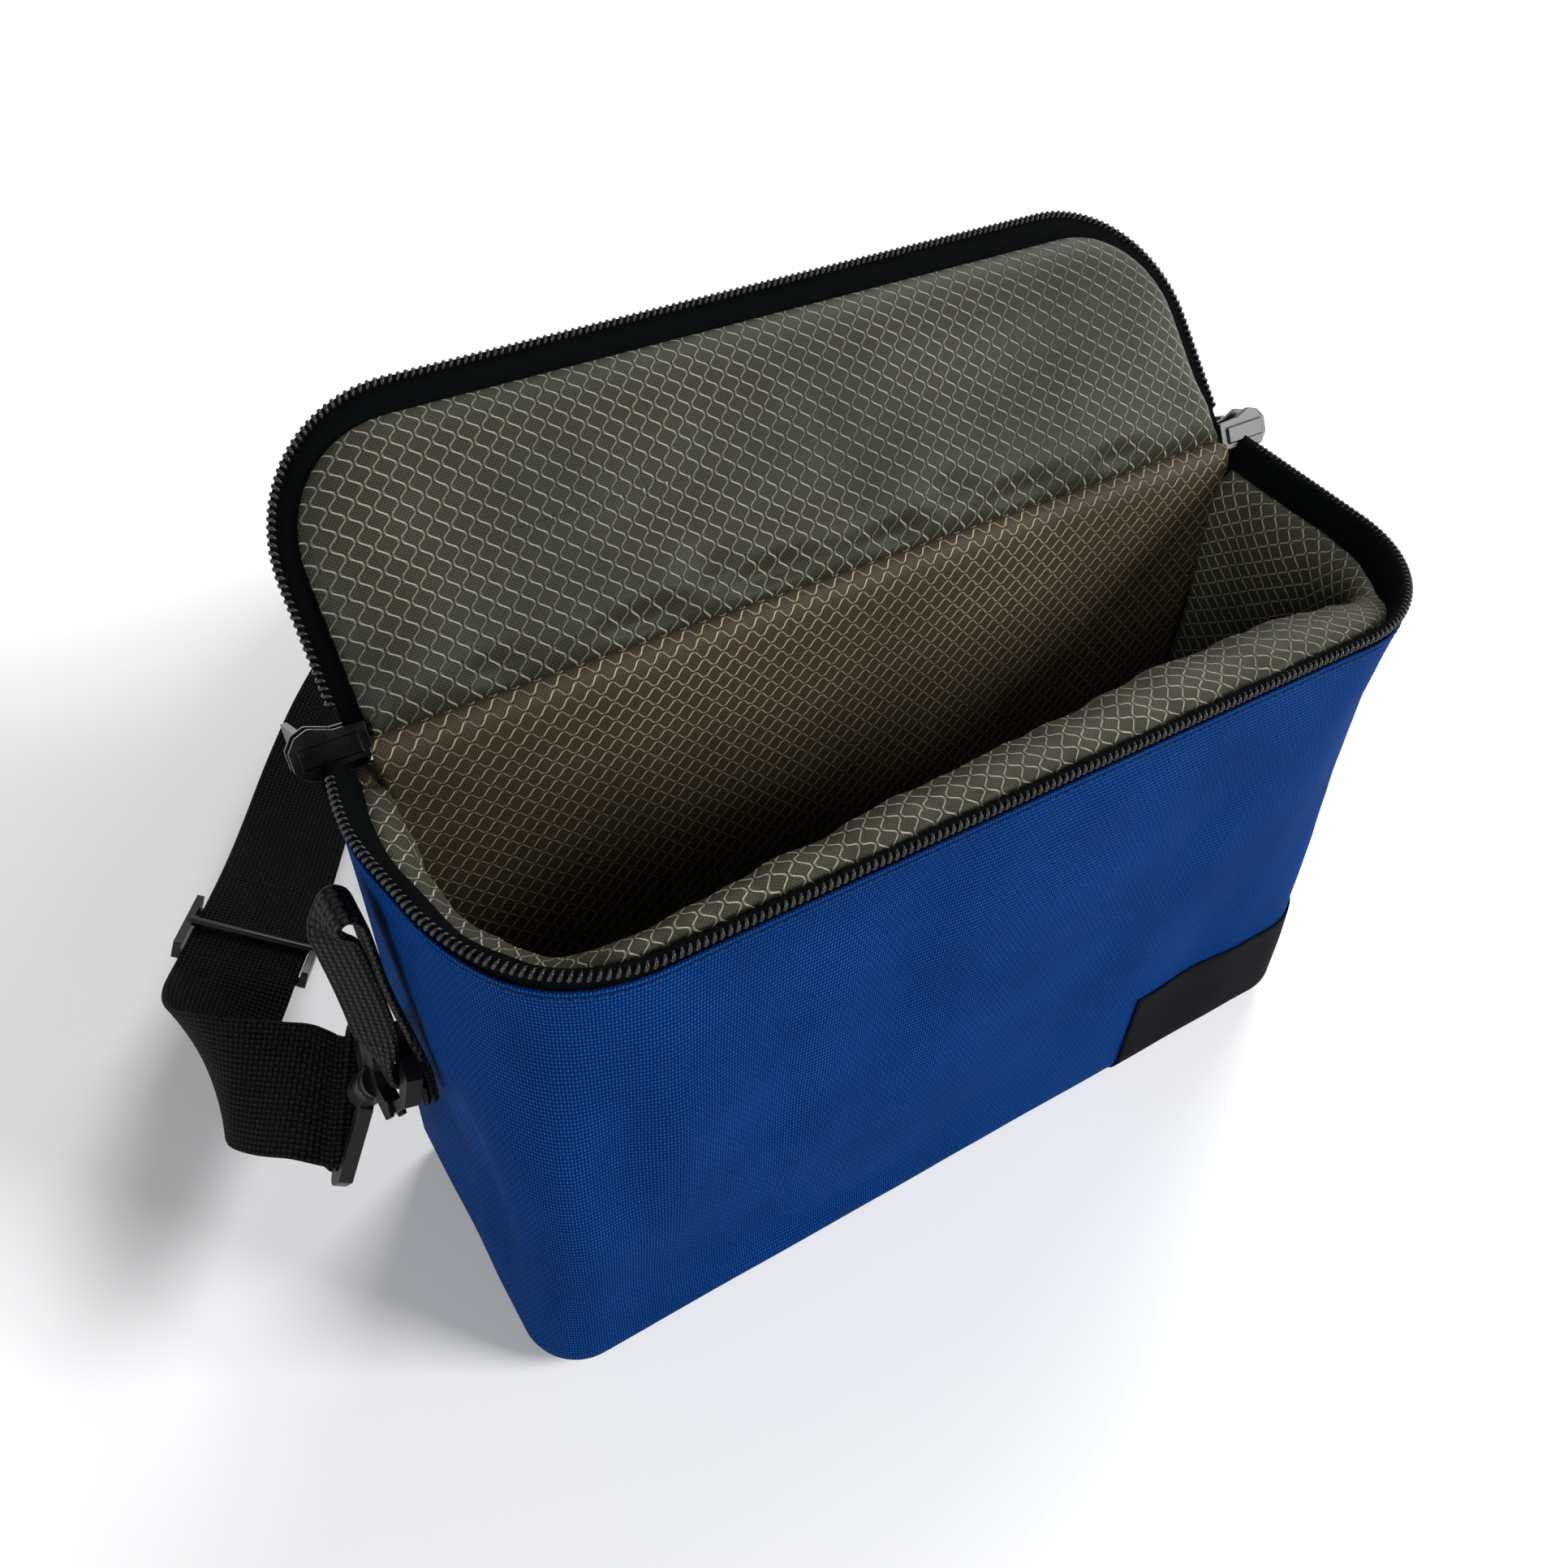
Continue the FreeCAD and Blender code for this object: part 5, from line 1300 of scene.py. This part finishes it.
# %% [markdown]
# Side loops: stiff webbing folded in two, sewn to the side panel at both ends and pulled out by the hook.
# A bevelled curve could make one, but it keeps one width and one twist. Here the rings are worked out one
# by one, so the webbing narrows where it is sewn, and its free strand turns to the front.

# %% Side loops
LOOP_Y, LOOP_GAUGE = 10.5, 2.4
LOOP_TWIST = math.radians(50)
# Distance out from the wall and height: up the sewn strand, over the top, and down the free one
LOOP_ROUTE = [(1.2, 87), (1.2, 100), (1.8, 110), (2.8, 125), (3.4, 145), (3.2, 162), (3.6, 169.6),
              (5.4, 172.6), (7.6, 172.8), (9.4, 170.6), (10.0, 165), (9.6, 155), (9.4, 140), (9.8, 125),
              (10.8, 110), (10.4, 102.5), (8.2, 99.2), (5.0, 97.2), (3.6, 94), (3.6, 87)]


def wall_out(sign, height):
    """How far the wall behind a loop stands out: the left one is pulled with the rim."""
    return flare(-192, height) + 0.8 if sign < 0 else 0.6


def side_loop(sign):
    """Rings of the loop's webbing and their place in the cloth; its width changes along it."""
    g = LOOP_GAUGE / 2
    line = through([(sign * (HALF_WIDTH + x + wall_out(sign, z)), LOOP_Y, z) for x, z in LOOP_ROUTE], 5)
    width = 8.4 + 4.0 * ease((line[:, 2] - 106) / 18)
    run = unit(np.gradient(line, axis=0))
    # The free strand is twisted, so that its face turns to the front
    outer = ease((np.arange(len(line)) / len(line) - 0.42) / 0.1)
    twist = LOOP_TWIST * outer * ease((line[:, 2] - 104) / 18) * ease((173 - line[:, 2]) / 12)
    edge = square_to(np.column_stack([sign * np.sin(twist), np.cos(twist), 0 * twist]), run)
    face = np.cross(edge, run)
    turn = np.linspace(0, 2 * math.pi, 20, endpoint=False)
    rings = []
    for p, e, f, w in zip(line, edge, face, width):
        flat = w / 2 - g
        rings.append([p + e * (math.copysign(flat, math.cos(t)) + g * math.cos(t)) + f * g * math.sin(t)
                      for t in turn])
    rings = np.array(rings)
    return rings, round_and_along(rings, lengths(line))


for side, sign in (("left", -1), ("right", 1)):
    rings, cloth = side_loop(sign)
    loop = tube("side_loop_webbing_" + side, rings, cloth)
    finish_piece(loop, "root", loop_webbing, "loop_webbing", "side_loop_" + side)
    print(f"{side} loop: {cloth[-1, 0, 1]:.0f} mm of webbing")

# %% [markdown]
# Where the strap meets its hook, the webbing goes round the frame's bar and is sewn back under itself.
# The strap itself could go on round the bar, but it and its sewn end are two pieces in the solid model.
# One more ribbon makes it: it starts under the strap, turns about the bar and ends on top of the strap.

# %% Strap ends round their bars
BAR = np.array([-171.5, 33.0, 64.0])
FOLD_RADIUS = 3.6
FOLD_TAIL = 26
FOLD_SUNK = 1.15 * STRAP_GAUGE


def strap_fold(side, flip):
    """The folded end; flip mirrors the left end to the right."""
    start, edge = strap_middle[0], unit(strap_across[0])
    out = square_to(start - BAR, edge)
    face = np.cross(edge, out)
    keep = strap_walk < FOLD_TAIL
    across = unit(strap_across[keep])
    normal = unit(np.cross(across, np.gradient(strap_middle[keep], axis=0)))
    under = strap_middle[keep] - normal * FOLD_SUNK
    angles = np.radians(np.linspace(-38, -322, 22))
    round_bar = BAR + FOLD_RADIUS * (np.cos(angles)[:, None] * out + np.sin(angles)[:, None] * face)
    path = np.concatenate([under[::-1], round_bar, [start + out * 1.2 + face * 0.3]])
    edges = np.concatenate([across[::-1], np.tile(edge, (len(round_bar) + 1, 1))])
    piece = ribbon("strap_end_" + side, path * flip, edges * flip)
    finish_piece(piece, "root", strap_webbing, "strap_webbing", "strap_fold_" + side)
    print(f"{side} strap end: {lengths(path)[-1]:.0f} mm of webbing")


strap_fold("left", np.ones(3))
strap_fold("right", mirror)

# %% [markdown]
# The label is a bare black patch of fine weave. It lies on the wrap and runs round the soft right corner.
# A Shrinkwrap modifier could lay a flat patch there, and would stretch it. The wrap's own sums are at
# hand, so the patch's points are the wrap's surface points, lifted by its own thickness.

# %% Label
LABEL_FROM, LABEL_TO = HALF_WIDTH - 84, 155.1
LABEL_LOW, LABEL_HIGH = 3.2, 45.8
LABEL_PROUD = 0.8


def on_wrap(along_wanted, height, lift):
    """Points of the wrap's outer face at one height, lifted off it."""
    inset = float(base_inset(height))
    corner = corner_at(height) - inset
    xy, out, along = u_line(HALF_WIDTH - inset, HALF_DEPTH - inset, HALF_DEPTH, corner, CLOSE_COUNTS)
    deep = wrap_sag(along, np.full_like(along, height))
    xy = xy + out * (lift - deep)[:, None]
    return at_height(read_at(along_wanted, along, xy), height)


def label():
    """The patch, as rows of points that lie on the wrap."""
    along = np.linspace(LABEL_FROM, LABEL_TO, 44)
    rows = np.linspace(LABEL_LOW, LABEL_HIGH, 24)
    points = np.array([on_wrap(along, row, LABEL_PROUD) for row in rows])
    return sheet("label_patch", points, np.stack(np.meshgrid(along, rows), -1))


patch = finish_piece(label(), "root", label_cloth, "label_cloth", "woven_label")
thicken(patch, LABEL_GAUGE)
print(f"label: {LABEL_TO - LABEL_FROM:.0f} mm round the corner, {LABEL_HIGH - LABEL_LOW:.0f} mm high")

# %% [markdown]
# A row of stitches is many short lengths of thread, each lying in the cloth with its ends diving in.
# Copies of one stitch could be scattered along a curve, but one mesh of plain six-sided lengths, thin at
# both ends, is as quick to make and follows the cloth at every stitch.

# %% Rows of stitches
SIDES = 6


def stitch_row(name, path, normal, length, gap, thread, finish, slot):
    """Stitches along a path of points, with the surface's normal at each."""
    walk = lengths(path)
    starts = np.arange(gap, walk[-1] - length, length + gap)
    turn = np.linspace(0, 2 * math.pi, SIDES, endpoint=False)
    points, quads, places = [], [], []
    for start in starts:
        along = np.linspace(0, 1, 5)
        where = start + along * length
        line, up_by = read_at(where, walk, path), read_at(where, walk, normal)
        side = np.cross(unit(line[-1] - line[0]), up_by)
        arch = np.sin(math.pi * along)
        first = len(points)
        for p, n, s, a in zip(line, up_by, side, arch):
            thick = thread / 2 * (0.45 + 0.55 * a)
            proud = thread * (0.55 * a - 0.35)
            points += [p + n * (proud + thick * math.sin(t)) + s * thick * math.cos(t) for t in turn]
        for ring in range(len(along) - 1):
            for k in range(SIDES):
                a, b = first + ring * SIDES + k, first + ring * SIDES + (k + 1) % SIDES
                quads.append((a, b, b + SIDES, a + SIDES))
                places += [((k + i) * 0.2, (ring + j) * 0.5) for i, j in ((0, 0), (1, 0), (1, 1), (0, 1))]
    print(f"{name}: {len(starts)} stitches")
    finish_piece(new_piece(name, points, quads, places), "root", finish, slot)

# %% [markdown]
# The wrap's hem is sewn down in one row round the rim, just under the zip. Its line could be picked from
# the wrap's own edges, but the plan and the dip give it at any depth below the hem.

# %% The hem's stitches
def rim_seam(below):
    """A line round the wrap at one distance below its edge, and the way out at each point."""
    xy, out, along = u_line(HALF_WIDTH, HALF_DEPTH, HALF_DEPTH - 10, RIM_CORNER, CLOSE_COUNTS)
    out = at_height(out)
    return at_height(xy, RIM - below - rim_dip(along)) + out * 0.02, out


stitch_row("rim_stitches", *rim_seam(2.5), length=2.3, gap=0.7, thread=0.42,
           finish=blue_thread, slot="blue_nylon")

# %% [markdown]
# Near its left end the strap is sewn through, two rows close together and one further on. A bump would
# show them as paint. Real thread stands on the webbing and catches its own light.

# %% The strap's stitches
def across_strap(at):
    """Points across the strap's upper face at a distance from the left hook, and the way out of it."""
    top, low = (read_at(at, strap_walk, edge) for edge in (top_edge, low_edge))
    ahead = read_at(at + 2, strap_walk, strap_middle)
    lie = unit(np.cross(top - low, ahead - (top + low) / 2))
    if lie[2] < 0:
        lie = -lie
    share = np.linspace(0.06, 0.94, 30)[:, None]
    row = top * share + low * (1 - share) + lie * (STRAP_GAUGE / 2)
    return row, np.tile(lie, (len(row), 1))


for number, at in enumerate((104.0, 107.0, 150.0), 1):
    stitch_row(f"strap_stitches_{number}", *across_strap(at), length=2.4, gap=0.8, thread=0.5,
               finish=black_thread, slot="strap_webbing")

# %% [markdown]
# Behind each slider the closed end of the zip runs on for a little and is sewn down on the back wall.
# It is a scrap of tape with a soft wave, tilted as the slider is. The rim's tape could be carried on to
# make it, but there the track ends and the tape turns, so a small sheet of its own is simpler.

# %% Zip ends
SLIDER_TILT = math.radians(57)
END_LOW, END_HIGH = -8.0, 4.5


def zip_end(side, sign):
    """The zip's sewn-down end on one side."""
    centre = np.array([sign * (HALF_WIDTH - 0.5), HINGE_Y + 7, HINGE_Z + 0.2])
    along = np.array([sign, 0, 0], float)
    rise = np.array([0, math.cos(SLIDER_TILT), math.sin(SLIDER_TILT)])
    face = np.array([0, -math.sin(SLIDER_TILT), math.cos(SLIDER_TILT)])
    u, v = np.meshgrid(np.linspace(END_LOW, END_HIGH, 8), np.linspace(-9.6, 2.4, 8))
    points = centre + u[..., None] * along + v[..., None] * rise
    points = points + face * (0.15 * np.sin(u * 0.9))[..., None]
    tape = sheet("zip_end_tape_" + side, points, np.stack([u, v], -1))
    thicken(tape, TAPE_GAUGE, 0)
    finish_piece(tape, "root", zip_tape, "zip_tape", "zip_end_" + side)


zip_end("left", -1)
zip_end("right", 1)
print(f"zip ends: {END_HIGH - END_LOW:.1f} mm long, tilted {math.degrees(SLIDER_TILT):.0f} degrees")

# %% [markdown]
# What is left are the rigid nodes: hooks, gates, pins, sliders, tabs and the slide buckle. They could be
# drawn again in more detail, but their own solids are right in shape and move as they should. A Weld and
# a small Bevel make them catch the light as moulded or cast parts do.

# %% Rigid nodes
# Each kind's finish, and how far its edges are rounded in millimetres
RIGID = {"hook_frame": (hook_plastic, 0.9), "hook_body": (hook_plastic, 0.9), "hook_gate": (hook_plastic, 0.4),
         "tri_glide": (hook_plastic, 0.5), "gate_pin": (dark_nickel, 0.1), "zip_slider": (dark_nickel, 1.1),
         "pull_tab": (dark_nickel, 0.35)}
# The left slider takes a nearly black copy of the same nickel, with its dark reflections painted in
OWN_FINISH = {"zip_slider_left": painted_shade_nickel}


def cloth_map_by_box(mesh):
    """Lay the cloth on a rigid node's faces along the two axes that each face lies along."""
    places = np.zeros((len(mesh.loops), 2), np.float32)
    for face in mesh.polygons:
        skip = max(range(3), key=lambda k: abs(face.normal[k]))
        a, b = [k for k in range(3) if k != skip]
        for corner in face.loop_indices:
            co = mesh.vertices[mesh.loops[corner].vertex_index].co
            places[corner] = (co[a] / MM, co[b] / MM)
    mesh.uv_layers.new(name=CLOTH_MAP).data.foreach_set("uv", places.ravel())


dressed = 0
for name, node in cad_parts.items():
    if node.hide_render:
        continue
    kind = next(k for k in RIGID if name.startswith(k))
    finish, round_by = RIGID[kind]
    node.data.materials.clear()
    node.data.materials.append(OWN_FINISH.get(name, finish))
    cloth_map_by_box(node.data)
    node.modifiers.new("join", "WELD").merge_threshold = 0.01 * MM
    edge = node.modifiers.new("edge", "BEVEL")
    edge.width = round_by * MM
    edge.segments = 3
    edge.limit_method = "ANGLE"
    edge.angle_limit = math.radians(35)
    edge.harden_normals = False
    dressed += 1
print(f"{dressed} rigid nodes finished")
